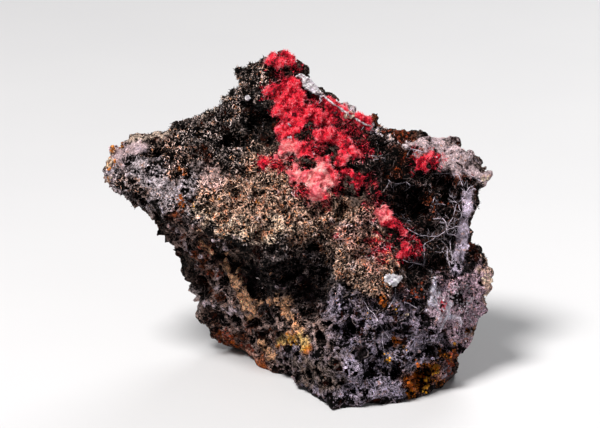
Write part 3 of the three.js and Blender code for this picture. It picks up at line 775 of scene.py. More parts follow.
# the faces are thinned out behind alone
behind = rock.vertex_groups.new(name="behind")
corners_behind = np.flatnonzero(share_of(rock.data, "front") < 0.5)
behind.add([int(corner) for corner in corners_behind], 1.0, "REPLACE")
triangles = sum(len(face.vertices) - 2 for face in rock.data.polygons)
thin = rock.modifiers.new("thin", "DECIMATE")
thin.ratio = ROCK_TRIANGLES / triangles
thin.vertex_group = "behind"
baked(rock)
rock.vertex_groups.clear()
for face in rock.data.polygons:
    face.use_smooth = True
rock.data.materials.append(stone("crusted_rock", crusted_skin))
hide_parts("matrix")
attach(rock, "root")

# --- Sheets of crust --------------------------------------------------------------------------
# Thin pale sheets that lie loosely over the dark rock of the arm, the undercut and the lower
# front, eaten into ragged lace. They stand on the walls of the caverns and bridge the gaps.
LACE_VOXEL = 0.5
SHEET_THICKNESS = 0.4
SHEET_STAND_OFF = 0.3


def lace():
    """Cuts ragged holes into a skin, and drops the crumbs that would be left on their own."""
    w, given, result = new_tree("lace", {"Smallest Sheet": 30.0})
    finer = w.node("GeometryNodeSubdivideMesh", given["Geometry"], 1).outputs[0]
    place = w.skin_place()
    sheet = named(w, "sheet")
    ragged = w.ragged(place, sheet)
    net = w.walls(w.warp(place, 1.4, 1.4, 3.0), 1.7)
    net = w.plus(ragged, w.ramp(net, 0.25, 0.05, 0.0, 0.085))
    hole = w.math("LESS_THAN", net, 0.5)
    bare = w.math("LESS_THAN", sheet, 0.1)
    height = w.node("ShaderNodeSeparateXYZ", place).outputs[2]
    bare = w.math("MAXIMUM", bare, w.math("LESS_THAN", height, 1.0))
    gone = w.math("MAXIMUM", hole, bare)
    cut = w.node("GeometryNodeDeleteGeometry", finer, gone, domain="FACE").outputs[0]
    island = w.node("GeometryNodeInputMeshIsland").outputs[0]
    kind = "GeometryNodeAccumulateField"
    count = w.node(kind, 1.0, domain="FACE", data_type="FLOAT", Group_ID=island)
    crumb = w.math("LESS_THAN", count.outputs["Total"], given["Smallest Sheet"])
    kept = w.node("GeometryNodeDeleteGeometry", cut, crumb, domain="FACE").outputs[0]
    rise = w.times(w.plus(swell(w, place), SHEET_STAND_OFF), w.ramp(height, 0.6, 3.0))
    w.feed(result, pushed(w, kept, rise))
    return w


crust = remeshed(merged_copy("matrix", "crust_sheets"), LACE_VOXEL)
coat(crust.data)
shaped(crust, lace())
shell = crust.modifiers.new("shell", "SOLIDIFY")
shell.thickness = SHEET_THICKNESS * MM
shell.offset = -1
baked(crust)


def crust_skin(w, place):
    return granular(w, place, w.attribute("crust", colour=True))


crust.data.materials.clear()
crust.data.materials.append(stone("crust_grains", crust_skin))
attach(crust, "root")

# --- Web --------------------------------------------------------------------------------------
# Pale threads of crust that run over the dark druse like a cobweb, and the thicker veins of the
# right hollow. Each thread creeps along the rock's skin.
WELL_CLEAR = 80  # millimetres in front of the face, clear of every knob


def skin_of(meshes):
    """The joint skin of several meshes, to lay other things on."""
    whole = bmesh.new()
    for mesh in meshes:
        whole.from_mesh(mesh)
    skin = BVHTree.FromBMesh(whole)
    whole.free()
    return skin


rock_skin = skin_of([rock.data, crust.data])


def on_rock(across, up):
    """Where a line square to the display face first meets the rock, and the normal there."""
    start = Vector(on_face(across, up, WELL_CLEAR) * MM)
    place, normal, _, _ = rock_skin.ray_cast(start, Vector(-OUT))
    return place, normal


def tube(path, radii, sides=4):
    """Corners and faces of a closed tube with pointed ends along a path in metres."""
    path = [Vector(p) for p in path]
    corners, sides_made = [path[0]], []
    for index in range(1, len(path) - 1):
        along = (path[index + 1] - path[index - 1]).normalized()
        first = along.orthogonal().normalized()
        if index > 1:
            first = (previous - along * previous.dot(along)).normalized()
        previous = first
        second = along.cross(first)
        for side in range(sides):
            turn = 2 * math.pi * side / sides
            spoke = first * math.cos(turn) + second * math.sin(turn)
            corners.append(path[index] + spoke * radii[index])
    corners.append(path[-1])
    rings = len(path) - 2
    for side in range(sides):
        other = (side + 1) % sides
        sides_made.append((0, 1 + other, 1 + side))
        for ring in range(rings - 1):
            low, high = 1 + ring * sides, 1 + (ring + 1) * sides
            sides_made.append((low + side, low + other, high + other, high + side))
        low = 1 + (rings - 1) * sides
        sides_made.append((low + side, low + other, len(corners) - 1))
    return corners, sides_made


def joined(name, parts):
    """One mesh object from many lists of corners and faces."""
    corners, sides_made = [], []
    for part_corners, part_faces in parts:
        base = len(corners)
        corners.extend(part_corners)
        sides_made.extend(tuple(base + corner for corner in face) for face in part_faces)
    mesh = bpy.data.meshes.new(name)
    mesh.from_pydata(corners, [], sides_made)
    return placed(name, mesh)


THREAD_STEP = 0.5
THREAD_LIFT = 0.1


def creeping_thread(draw, across, up, length, radius):
    """A thread that starts on the face and wanders over the skin."""
    place, normal = on_rock(across, up)
    if place is None:
        return None
    heading = Vector(draw.normal(size=3)).cross(normal).normalized()
    path, radii = [place + normal * THREAD_LIFT * MM], [0]
    for _ in range(max(4, int(length / THREAD_STEP))):
        heading = (heading + Vector(draw.normal(size=3)) * 0.24).normalized()
        guess = path[-1] + heading * THREAD_STEP * MM
        nearest, normal, _, _ = rock_skin.find_nearest(guess)
        if nearest is None:
            break
        place = nearest + normal * draw.uniform(0.3, 1.6) * THREAD_LIFT * MM
        heading = (place - path[-1]).normalized()
        path.append(place)
        radii.append(radius * MM * draw.uniform(0.6, 1.3))
    return tube(path, radii)


def vein(points, radius, seed, lift):
    """A thicker thread strung over the hollows through places that are given on the face."""
    draw = np.random.default_rng(seed)
    step_length, wobble = 0.4, 0.12
    path = []
    for (across, up), (next_across, next_up) in zip(points, points[1:]):
        wide, high = next_across - across, next_up - up
        steps = max(2, int(math.hypot(wide, high) / step_length))
        for step in range(steps + (points[-1] == (next_across, next_up))):
            share = step / steps
            place, _ = on_rock(
                across + wide * share + draw.normal() * wobble,
                up + high * share + draw.normal() * wobble,
            )
            if place is not None:
                path.append(place + Vector(OUT) * lift * MM)
    # the run is smoothed, and its two ends go into the rock
    inner = [(one + two * 2 + three) / 4 for one, two, three in zip(path, path[1:], path[2:])]
    path = [path[0]] + inner + [path[-1]]
    for end in (0, -1):
        path[end] = path[end] - Vector(OUT) * 2 * lift * MM
    return tube(path, [radius * MM * draw.uniform(0.5, 1.4) for _ in path], 5)


# the veins: how thick they are, and the places they pass, across and up
HOLLOW_VEINS = [
    (0.1, [(29.6, 11.4), (30.5, 11.6), (32.1, 11.7), (33.6, 11.2), (34, 9.9), (34.7, 8.6)]),
    (0.09, [(35.5, 11.6), (36.8, 10.7), (38.7, 9.7)]),
    (0.1, [(36.8, 9.2), (35.7, 8.6), (35.1, 7.8), (34.5, 6.5), (33.6, 5.4)]),
    (0.09, [(31.5, 7.8), (32.3, 6.7), (33.2, 5.7), (33.8, 5.4)]),
    (0.1, [(27.7, 5.1), (28.8, 4), (29.6, 2.7), (30.5, 1.9), (31, 1)]),
    (0.08, [(27.7, 5.1), (29.2, 5.2), (31.3, 5.1)]),
    (0.09, [(33.6, 5.4), (33, 4), (32.6, 2.7), (31.7, 1.7), (31.1, 0.8)]),
    (0.09, [(33.8, 5.4), (33.9, 3.6), (34, 2.3)]),
    (0.1, [(30.9, 1.2), (31.5, -0.2), (32.6, 0.4), (33.8, 0.5), (34.7, 0.2)]),
    (0.09, [(31.1, 0.8), (30.7, -0.2), (31.3, -1.3), (32.6, -1.3), (33.6, -2.1)]),
    (0.08, [
        (21.2, 1.2), (23.3, -0.2), (25.4, -1.3), (27.5, -1.5), (28.6, -1.7), (30, -0.9), (30.7, -0.2),
    ]),
    (0.08, [(20, 3.4), (22.6, 1.8), (24.4, 1.6)]),
    (0.07, [(28.6, -1.7), (27, -2.6), (26, -3.4), (25.9, -5.5), (26, -8)]),
    (0.09, [(30.7, -3.1), (30.9, -6.4), (31.7, -7)]),
    (0.09, [(32.2, -1.6), (31.4, -3.6), (31.9, -5.2), (31.6, -7.4)]),
    (0.08, [(29.4, -4.2), (30.6, -5.6), (31.4, -8.2)]),
    (0.09, [(21, -6.2), (23.1, -6.8), (26, -7.4)]),
    (0.08, [(18.5, 10.4), (20.4, 9.2), (22.6, 9.8), (24, 8.8)]),
    (0.08, [(14.6, 15.4), (16.8, 14.6), (18.4, 14.8)]),
    (0.2, [
        (4, 28.1), (5.6, 27), (7.8, 25.4), (9.9, 24.1), (12.2, 22.8), (14.8, 21.3), (17.8, 19.5),
    ]),
]
CRUST_VEINS = [
    (0.12, [(13, -14.2), (15.8, -17.6), (17.2, -20.2), (18.9, -23)]),
    (0.12, [(19.9, -11.2), (19.8, -13.8), (18.3, -15.9)]),
    (0.11, [(19.7, -14.4), (22.4, -14.9), (24.7, -16.4)]),
    (0.11, [(17.2, -20.2), (17.4, -25.2)]),
    (0.1, [(22.4, 17.7), (24, 16.6), (25.4, 16), (27.5, 16.2)]),
]
VEIN_RADIUS = 0.62  # millimetres, for a vein of thickness 1
TWIGS_PER_STRETCH = 4
VEIN_TONE = tone(232, 218, 234)
TWIG_TONE = tone(216, 202, 216)
THREAD_TONE = tone(206, 180, 178)
# where threads creep: across, up, radius of the place, how many, how long
WEBS = [
    (31, 7, 7, 60, 2.6), (24, 5, 7, 60, 2.4), (29, -4, 6, 60, 2.6), (33, -1, 4, 40, 2.6),
    (24, -12, 5, 50, 2.6), (19, 12, 5, 20, 2.4), (27, 13, 4, 40, 2.4), (0, -9, 8, 40, 2.2),
    (-16, -10, 5, 90, 2.4), (-12, -18, 5, 90, 2.4), (-5, -20, 6, 90, 2.4), (4, -24, 6, 30, 2.4),
    (-28, 9, 8, 40, 2.4), (-20, 15, 7, 40, 2.4), (-12, 25, 6, 30, 2.2), (14, -24, 8, 90, 2.8),
    (25, -22, 8, 60, 2.6), (12, -13, 6, 50, 2.6), (-22, 0, 4, 40, 2.4),
]


def thread_finish():
    """Each thread has its own tone, and is dusty in places."""
    made, w, shader = new_finish("web_thread", 0.6, 0.5)
    dust = w.ramp(w.noise(w.millimetres(), 0.7, 3.0, 0.7), 0.36, 0.56, 0.22, 1.1)
    own = w.attribute("own", colour=True)
    w.feed(shader["Base Color"], w.scaled(own, dust))
    return made


def strewn(draw, across, up, spread):
    """A place drawn at random from a round patch of the face."""
    turn, away = draw.uniform(0, 2 * math.pi), spread * math.sqrt(draw.uniform())
    return across + away * math.cos(turn), up + away * math.sin(turn)


draw = np.random.default_rng(11)
strands, shades = [], []
for veins, lift in ((HOLLOW_VEINS, 0.9), (CRUST_VEINS, 0.3)):
    for seed, (thickness, points) in enumerate(veins):
        strands.append(vein(points, VEIN_RADIUS * thickness, seed, lift))
        shades.append(VEIN_TONE)
        for start, end in list(zip(points, points[1:])) * TWIGS_PER_STRETCH:
            across, up = np.array(start) + (np.array(end) - start) * draw.uniform()
            turn, long = draw.uniform(0, 2 * math.pi), draw.uniform(0.7, 2.4)
            twig = [(across, up), (across + long * math.cos(turn), up + long * math.sin(turn))]
            strands.append(vein(twig, draw.uniform(0.3, 0.5) * thickness, seed, lift))
            shades.append(TWIG_TONE * draw.uniform(0.3, 1))
for across, up, spread, count, length in WEBS:
    for _ in range(count):
        start = strewn(draw, across, up, spread)
        long, radius = length * draw.uniform(0.4, 1.4), draw.uniform(0.02, 0.045)
        made = creeping_thread(draw, *start, long, radius)
        if made:
            strands.append(made)
            shades.append(THREAD_TONE * draw.uniform(0.05, 0.8))
web = joined("web_of_crust", strands)
counts = [len(corners) for corners, _ in strands]
dye(web.data, "own", np.repeat(shades, counts, axis=0))
web.data.materials.append(thread_finish())
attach(web, "root")

# --- Felt and druse ---------------------------------------------------------------------------
# Short needles and curled wires that cover the rock: a sand-coloured felt over the middle, and
# black moss on the left, under the summit and in the hollows. Each grows from the skin.
UPRIGHT = 1.35  # how strongly the needles stand square to the skin
COMBED = 5.0  # how strongly the needles of a tuft lean the same way


def needle_shape(w, given):
    """A straight needle of unit height, and the sizes that one instance takes."""
    wide = w.times(given["Width"], w.ramp(given["Chance"], 0.4, 1.0, 0.6, 1.6))
    long = w.times(given["Length"], w.ramp(given["Chance"], 0.0, 1.0, 0.4, 1.0))
    kind = "GeometryNodeMeshCone"
    needle = w.node(kind, Vertices=3, Radius_Top=0.0, Radius_Bottom=0.5, Depth=1.0)
    size = w.node("ShaderNodeCombineXYZ", wide, wide, long)
    return needle.outputs["Mesh"], size.outputs[0]


def curl_shape(w, given):
    """A curled wire that starts upright at its root, and the sizes that one instance takes."""
    radius, sweep, sunk = 0.4, math.radians(200), 0.1
    arc = w.node("GeometryNodeCurveArc", Resolution=5, Radius=radius, Start_Angle=math.pi)
    arc.inputs["Sweep Angle"].default_value = -sweep
    rooted = w.node("GeometryNodeTransform", arc.outputs[0], Translation=(radius, 0, -sunk))
    rooted.inputs["Rotation"].default_value = (math.radians(90), 0, 0)
    half = w.math("DIVIDE", given["Width"], w.times(given["Length"], 2.0))
    section = w.node("GeometryNodeCurvePrimitiveCircle", Resolution=3, Radius=half).outputs[0]
    wire = w.node("GeometryNodeCurveToMesh", rooted.outputs[0], section, Fill_Caps=True)
    long = w.times(given["Length"], w.ramp(given["Chance"], 0.0, 1.0, 0.6, 1.2))
    return wire.outputs[0], w.node("ShaderNodeCombineXYZ", long, long, long).outputs[0]


def growth(name, shape_of):
    """Grows small needles or curls from a skin where its growth attribute is above nothing."""
    sizes = {"Per Square": 60.0, "Length": 0.8, "Width": 0.09, "Lean": 0.6, "Tuft": 0.8, "Seed": 1}
    w, _, result = new_tree(name, sizes)
    w.tree.interface.new_socket("Finish", in_out="INPUT", socket_type="NodeSocketMaterial")
    given = dict(w.tree.nodes["Group Input"].outputs.items())
    thick = w.times(w.times(given["Per Square"], 1 / MM ** 2), named(w, "growth"))
    kind = "GeometryNodeDistributePointsOnFaces"
    spread = w.node(kind, Mesh=given["Geometry"], Density=thick, Seed=given["Seed"])
    place = w.skin_place()
    often = w.math("DIVIDE", 1.0, given["Tuft"])
    tuft = w.node("ShaderNodeTexNoise", Vector=place, Scale=often, Detail=1.0)
    combed = w.scaled(w.vector("SUBTRACT", tuft.outputs["Color"], (0.5,) * 3), COMBED)
    lots = w.node("FunctionNodeRandomValue", data_type="FLOAT_VECTOR", Seed=given["Seed"])
    lots.inputs[0].default_value = (-1, -1, -1)
    lots.inputs[1].default_value = (1, 1, 1)
    stray = lots.outputs[0]
    aside = w.scaled(w.vector("ADD", combed, stray), given["Lean"])
    upright = w.scaled(spread.outputs["Normal"], w.minus(UPRIGHT, given["Lean"]))
    heading = w.vector("ADD", upright, aside)
    kind = "FunctionNodeAlignRotationToVector"
    turn = w.node(kind, axis="Z", Vector=heading).outputs[0]
    spin = w.node(kind, axis="X", pivot_axis="Z", Rotation=turn, Vector=stray).outputs[0]
    seed = w.plus(given["Seed"], 7)
    chance = w.node("FunctionNodeRandomValue", data_type="FLOAT", Seed=seed)
    given["Chance"] = chance.outputs[1]
    shape, size = shape_of(w, given)
    points = spread.outputs["Points"]
    kind = "GeometryNodeInstanceOnPoints"
    grown = w.node(kind, Points=points, Instance=shape, Rotation=spin, Scale=w.scaled(size, MM))
    seed = w.plus(given["Seed"], 3)
    light = w.node("FunctionNodeRandomValue", data_type="FLOAT", Seed=seed)
    shaded = stored(w, grown.outputs[0], "shade", light.outputs[1], domain="INSTANCE")
    loose = w.node("GeometryNodeRealizeInstances", Geometry=shaded)
    dressed = w.node("GeometryNodeSetMaterial", loose.outputs[0], Material=given["Finish"])
    w.feed(result, dressed.outputs[0])
    return w


WARM_TINT = (1.0, 0.66, 0.42, 1)
WHITE_TINT = (1.15, 1.2, 1.25, 1)
RUST_TINT = (1.0, 0.5, 0.3, 1)
BLEACHED = tone(206, 196, 204)


def fibre_finish(name, rough, pale_share, darkest, lightest, gloss=0.08):
    """A fibre is either near black or takes the crust's colour under it, in drifts of either."""
    made, w, shader = new_finish(name, rough, gloss)
    place = w.millimetres()
    drift = w.minus(w.noise(place, 2.4, 3.0, 0.7), 0.5)
    spot = w.minus(w.noise(place, 0.4, 2.0, 0.6), 0.5)
    chance = w.plus(w.times(drift, 1.2), w.times(spot, 1.2))
    chance = w.plus(chance, w.times(w.attribute("shade"), 0.7))
    light = w.ramp(chance, 0.8 - pale_share, 0.95 - pale_share, darkest, lightest)
    # each fibre draws a tint of its own, and drifts of them are rusted or bleached
    hue = w.math("FRACT", w.times(w.attribute("shade"), 37.0))
    warm = w.mix(w.ramp(hue, 0.7, 0.8), NO_TINT, WARM_TINT)
    white = w.mix(w.ramp(hue, 0.88, 0.94), warm, WHITE_TINT)
    own = w.mix(1.0, w.attribute("crust", colour=True), white, "MULTIPLY")
    rusted = w.noise(place, 3.0, 4.0, 0.75, shift=(0, 0, 80))
    rusted = w.ramp(rusted, 0.56, 0.62, 0.0, 0.75)
    own = w.mix(rusted, own, w.mix(1.0, own, RUST_TINT, "MULTIPLY"))
    bleached = w.noise(place, 3.4, 4.0, 0.75, shift=(0, 90, 0))
    bleached = w.ramp(bleached, 0.57, 0.63, 0.0, 0.6)
    own = w.mix(bleached, own, BLEACHED)
    w.feed(shader["Base Color"], w.scaled(own, light))
    return made


def finished(thing, finish):
    """Leaves one material on the whole piece."""
    thing.data.materials.clear()
    thing.data.materials.append(finish)
    thing.data.polygons.foreach_set("material_index", [0] * len(thing.data.polygons))
    return thing


def grown_on(host, name, growing, thickness, finish, **sizes):
    """A piece of needles or curls over a host skin, as thick at each place as thickness says."""
    skin = placed(name, host.data.copy())
    skin.data.materials.clear()
    mark(skin.data, "growth", thickness(places_of(skin.data)))
    return finished(shaped(skin, growing, finish=finish, **sizes), finish)


needles = growth("needles", needle_shape)
curls = growth("curls", curl_shape)
rock_front = share_of(rock.data, "front")
front_share = rock_front * np.clip(1.4 - 0.6 * share_of(rock.data, "sunk"), 0.05, 1)


def felted(p):
    """1 where the felt lies."""
    return patch(p, spots_of("felt", "brow_felt"), soft=0.25) * front_share


felt = grown_on(
    rock, "sandy_felt", needles,
    lambda p: felted(p) * np.clip(0.75 + 0.7 * waves(p, 2.2, 31), 0, 1),
    fibre_finish("felt_fibre", 0.75, 0.39, 0.005, 1.6),
    per_square=24.0, length=0.8, width=0.17, lean=0.62, tuft=0.7, seed=1,
)
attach(felt, "root")

curly = grown_on(
    rock, "felt_curls", curls,
    lambda p: felted(p) * np.clip(0.6 + 1.1 * waves(p, 2.8, 34), 0, 1),
    fibre_finish("felt_curl", 0.6, 0.54, 0.015, 2.0),
    per_square=9.0, length=1.0, width=0.13, lean=0.75, tuft=1.2, seed=4,
)
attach(curly, "root")


def mossy(p):
    """1 where the moss lies, and a half in the dark hollows."""
    deep = patch(p, spots_of("cavern", "brow_recess", "right_hollow", "under_ledge"))
    druse = patch(p, spots_of("grey_druse", "summit_druse", "shoulder_druse", "arm_gap"))
    kept = front_share * (1 - patch(p, spots_of("pale_lump", "pillar")))
    return np.maximum(druse * (1 - deep), 0.5 * deep) * kept


moss = grown_on(
    rock, "black_moss", needles,
    lambda p: mossy(p) * np.clip(0.7 + 0.7 * waves(p, 1.9, 32), 0, 1),
    fibre_finish("moss_needle", 0.5, 0.2, 0.004, 1.9, 0.12),
    per_square=20.0, length=0.75, width=0.17, lean=0.5, tuft=0.8, seed=2,
)
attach(moss, "root")

wires = grown_on(
    rock, "moss_curls", curls,
    lambda p: mossy(p) ** 2 * np.clip(0.5 + 1.2 * waves(p, 3.0, 35), 0, 1),
    fibre_finish("moss_curl", 0.5, 0.42, 0.01, 2.2),
    per_square=9.0, length=0.95, width=0.12, lean=0.75, tuft=1.2, seed=6,
)
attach(wires, "root")

# --- Red hairs --------------------------------------------------------------------------------
# Chalcotrichite: cushions of matted, hair-thin red copper oxide needles on a denser red heart.
# They grow in woolly lobes whose clefts are darkened as painted shade and whose tops are lightened as
# painted highlights, paler and pinker where the hairs thin out.
DEEPEST_RED = tone(58, 1, 10)
SCARLET = tone(242, 30, 60)
LIT_RED = tone(255, 160, 172)
PINK = tone(250, 100, 116)
PALE_PINK = tone(255, 222, 216)


def red_finish():
    """Hairs are darkened in the clefts as painted shade and lightened on the lobes as painted
    highlights, and each has its own shade.
    """
    made, w, shader = new_finish("red_hair", 0.6, 0.15)
    clump = w.ramp(w.noise(w.millimetres(), 0.9, 4.0, 0.75), 0.38, 0.62)
    # painted shade and highlight: the lobe's height darkens the clefts and lightens the tops
    clump = w.times(w.plus(clump, w.attribute("lobe")), 0.32)
    light = w.plus(clump, w.times(w.attribute("shade"), 0.36))
    deep = w.mix(w.ramp(light, 0.16, 0.48), DEEPEST_RED, SCARLET)
    bright = w.mix(w.ramp(light, 0.52, 0.84), deep, LIT_RED)
    pink = w.mix(w.ramp(light, 0.14, 0.68), PINK, PALE_PINK)
    w.feed(shader["Base Color"], w.mix(w.attribute("bloom"), bright, pink))
    return made


# where the red runs to pink: across, up, radius
PINK_BLOOM = [
    (4.4, 11.4, 2.1), (5.4, 9.6, 1.8), (3, 9, 1.6), (-2.8, 15.6, 1.9), (17, 3.6, 1.6),
    (11.5, 13.5, 1.2), (1, 9.6, 1.8), (-1, 12.4, 1.6), (4, 6.2, 1.8),
]
HEART_VOXEL = 0.36
HEART_DEPTH = 0.6  # how far the heart lies under the cushion's solid, on the mean
HEART_SINK = 0.4  # how far it is set back into the rock
HAIR_LENGTH = 0.75
HAIR_WIDTH = 0.085
HAIRS_PER_SQUARE = 60.0
red_hair = red_finish()
cushion_nodes = [name for name in sorted(frame["nodes"]) if name.startswith("chalcotrichite")]


def bloomed(mesh):
    """Marks where the red runs to pink."""
    places = places_of(mesh)
    drifts = np.clip(0.95 + 0.4 * waves(places, 1.5, 45), 0, 1)
    mark(mesh, "bloom", patch(places, PINK_BLOOM) * drifts)


def hair_cushion(node):
    """A denser heart just inside the cushion's solid, and hairs from it that reach its tips."""
    piece = node.replace("chalcotrichite", "red_hairs")
    heart = remeshed(merged_copy(node, piece + "_heart"), HEART_VOXEL)
    places = places_of(heart.data)
    lobes = 0.42 * waves(places, 2, 41) + 0.26 * waves(places, 0.9, 42)
    push = (lobes - HEART_DEPTH)[:, None]
    places = places + normals_of(heart.data) * push - OUT * HEART_SINK
    heart.data.vertices.foreach_set("co", (places * MM).ravel())
    bloomed(heart.data)
    # the lobe's height, which the hair's paint turns into painted shade in the clefts and painted
    # highlights on top
    mark(heart.data, "lobe", np.clip(0.45 + 1.1 * lobes, 0, 1))
    hairs = grown_on(
        heart, piece, needles,
        lambda p: np.clip(0.9 + 0.5 * waves(p, 1.2, 43), 0.15, 1),
        red_hair,
        per_square=HAIRS_PER_SQUARE, length=HAIR_LENGTH, width=HAIR_WIDTH,
        lean=0.5, tuft=0.9, seed=5,
    )
    heart.data.materials.append(red_hair)
    whole = bmesh.new()
    whole.from_mesh(hairs.data)
    whole.from_mesh(heart.data)
    whole.to_mesh(hairs.data)
    whole.free()
    bpy.data.objects.remove(heart)
    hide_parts(node)
    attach(hairs, "root")


# the fringe grows from the rock itself, whose marks it takes over
bloomed(rock.data)
mark(rock.data, "lobe", np.full(len(rock.data.vertices), 0.5))
cushion_skin = skin_of([frame["nodes"][node].data for node in cushion_nodes])
for node in cushion_nodes:
    hair_cushion(node)
FRINGE_REACH = 1.3
# small tufts that stand on their own: across, up, radius
SMALL_TUFTS = [
    (8.1, -1.1, 0.8), (24.7, -4, 1.2), (23.8, -5.2, 0.9), (16.4, -4.4, 0.8), (24.4, -2.8, 0.8),
]


def near_cushions(points):
    """Thick beside a red cushion and in the small tufts, and thinner in the red stains."""
    away = np.array([cushion_skin.find_nearest(Vector(p * MM))[3] / MM for p in points])
    beside = np.clip(1 - away / FRINGE_REACH, 0, 1) * 0.8
    stains = patch(points, spots_of("red_stain")) * 0.5
    stains = np.maximum(stains, patch(points, SMALL_TUFTS, 0.5))
    drifts = np.clip(0.5 + waves(points, 1.6, 44), 0, 1)
    return np.maximum(beside, stains) * rock_front * drifts


fringe = grown_on(
    rock, "red_fringe", needles, near_cushions, red_hair,
    per_square=20.0, length=0.9, width=0.12, lean=0.6, tuft=0.9, seed=8,
)
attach(fringe, "root")

# --- Calcite ----------------------------------------------------------------------------------
# Pearly white pieces of cleaved calcite that sit on the rock: the sliver by the summit, a flake
# over the ledge and a small grain. Streaks run along the sliver.
SLIVER_RUN = ACROSS * 0.74 - UP * 0.68
SLIVER_SIDE = ACROSS * 0.68 + UP * 0.74
PEARL_SHADE = tone(230, 220, 234)
PEARL_WHITE = tone(255, 253, 255)
PEARL_STAIN = tone(166, 136, 128)
PEARL_PIT = tone(40, 24, 22)


def pearl_skin(w, place):
    """White with fine streaks, brownish stains and a few dark pits."""
    along = w.times(w.vector("DOT_PRODUCT", place, tuple(SLIVER_RUN)), 0.5)
    beside = w.times(w.vector("DOT_PRODUCT", place, tuple(SLIVER_SIDE)), 2.4)
    streaked = w.node("ShaderNodeCombineXYZ", along, beside, 0.0).outputs[0]
    streak = w.ramp(w.noise(streaked, 0.8, 4.0, 0.65), 0.36, 0.6)
    colour = w.mix(streak, PEARL_SHADE, PEARL_WHITE)
    stain = w.ramp(w.noise(place, 0.7, 4.0, 0.75), 0.57, 0.63, 0.0, 0.4)
    colour = w.mix(stain, colour, PEARL_STAIN)
    pit = w.noise(place, 0.6, 3.0, 0.8, shift=(9, 0, 0))
    pit = w.ramp(pit, 0.28, 0.32, 0.6, 0.0)
    return w.mix(pit, colour, PEARL_PIT), streak


pearl = stone("pearly_calcite", pearl_skin, 0.45, 0.25)
FLAKE_VOXEL = 0.16


def cleaved(node, name, ragged):
    """A flake with its edges broken and its faces uneven, by about that many millimetres."""
    piece = remeshed(merged_copy(node, name), FLAKE_VOXEL)
    places = places_of(piece.data)
    push = ragged * (waves(places, 1.1, 51) + 0.6 * waves(places, 0.5, 52)) - ragged
    places = places + normals_of(piece.data) * push[:, None]
    piece.data.vertices.foreach_set("co", (places * MM).ravel())
    finished(piece, pearl)
    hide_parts(node)
    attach(piece, "root")


cleaved("calcite_sliver", "calcite_sliver_cleaved", 0.14)
cleaved("pale_flake", "pale_flake_cleaved", 0.26)
cleaved("calcite_grain", "calcite_grain_cleaved", 0.1)

# --- Crumbs -----------------------------------------------------------------------------------
# Small lumps that sit in the crusts: amber and yellow iron ochre, rust, and white or pinkish
# sugar-like crystals on the upper right lump, the block, in the red hair and along the edges.
# A thin white streak of the same sugary stuff runs down the ridge.
CORNERS_OF_A_CRUMB = 6
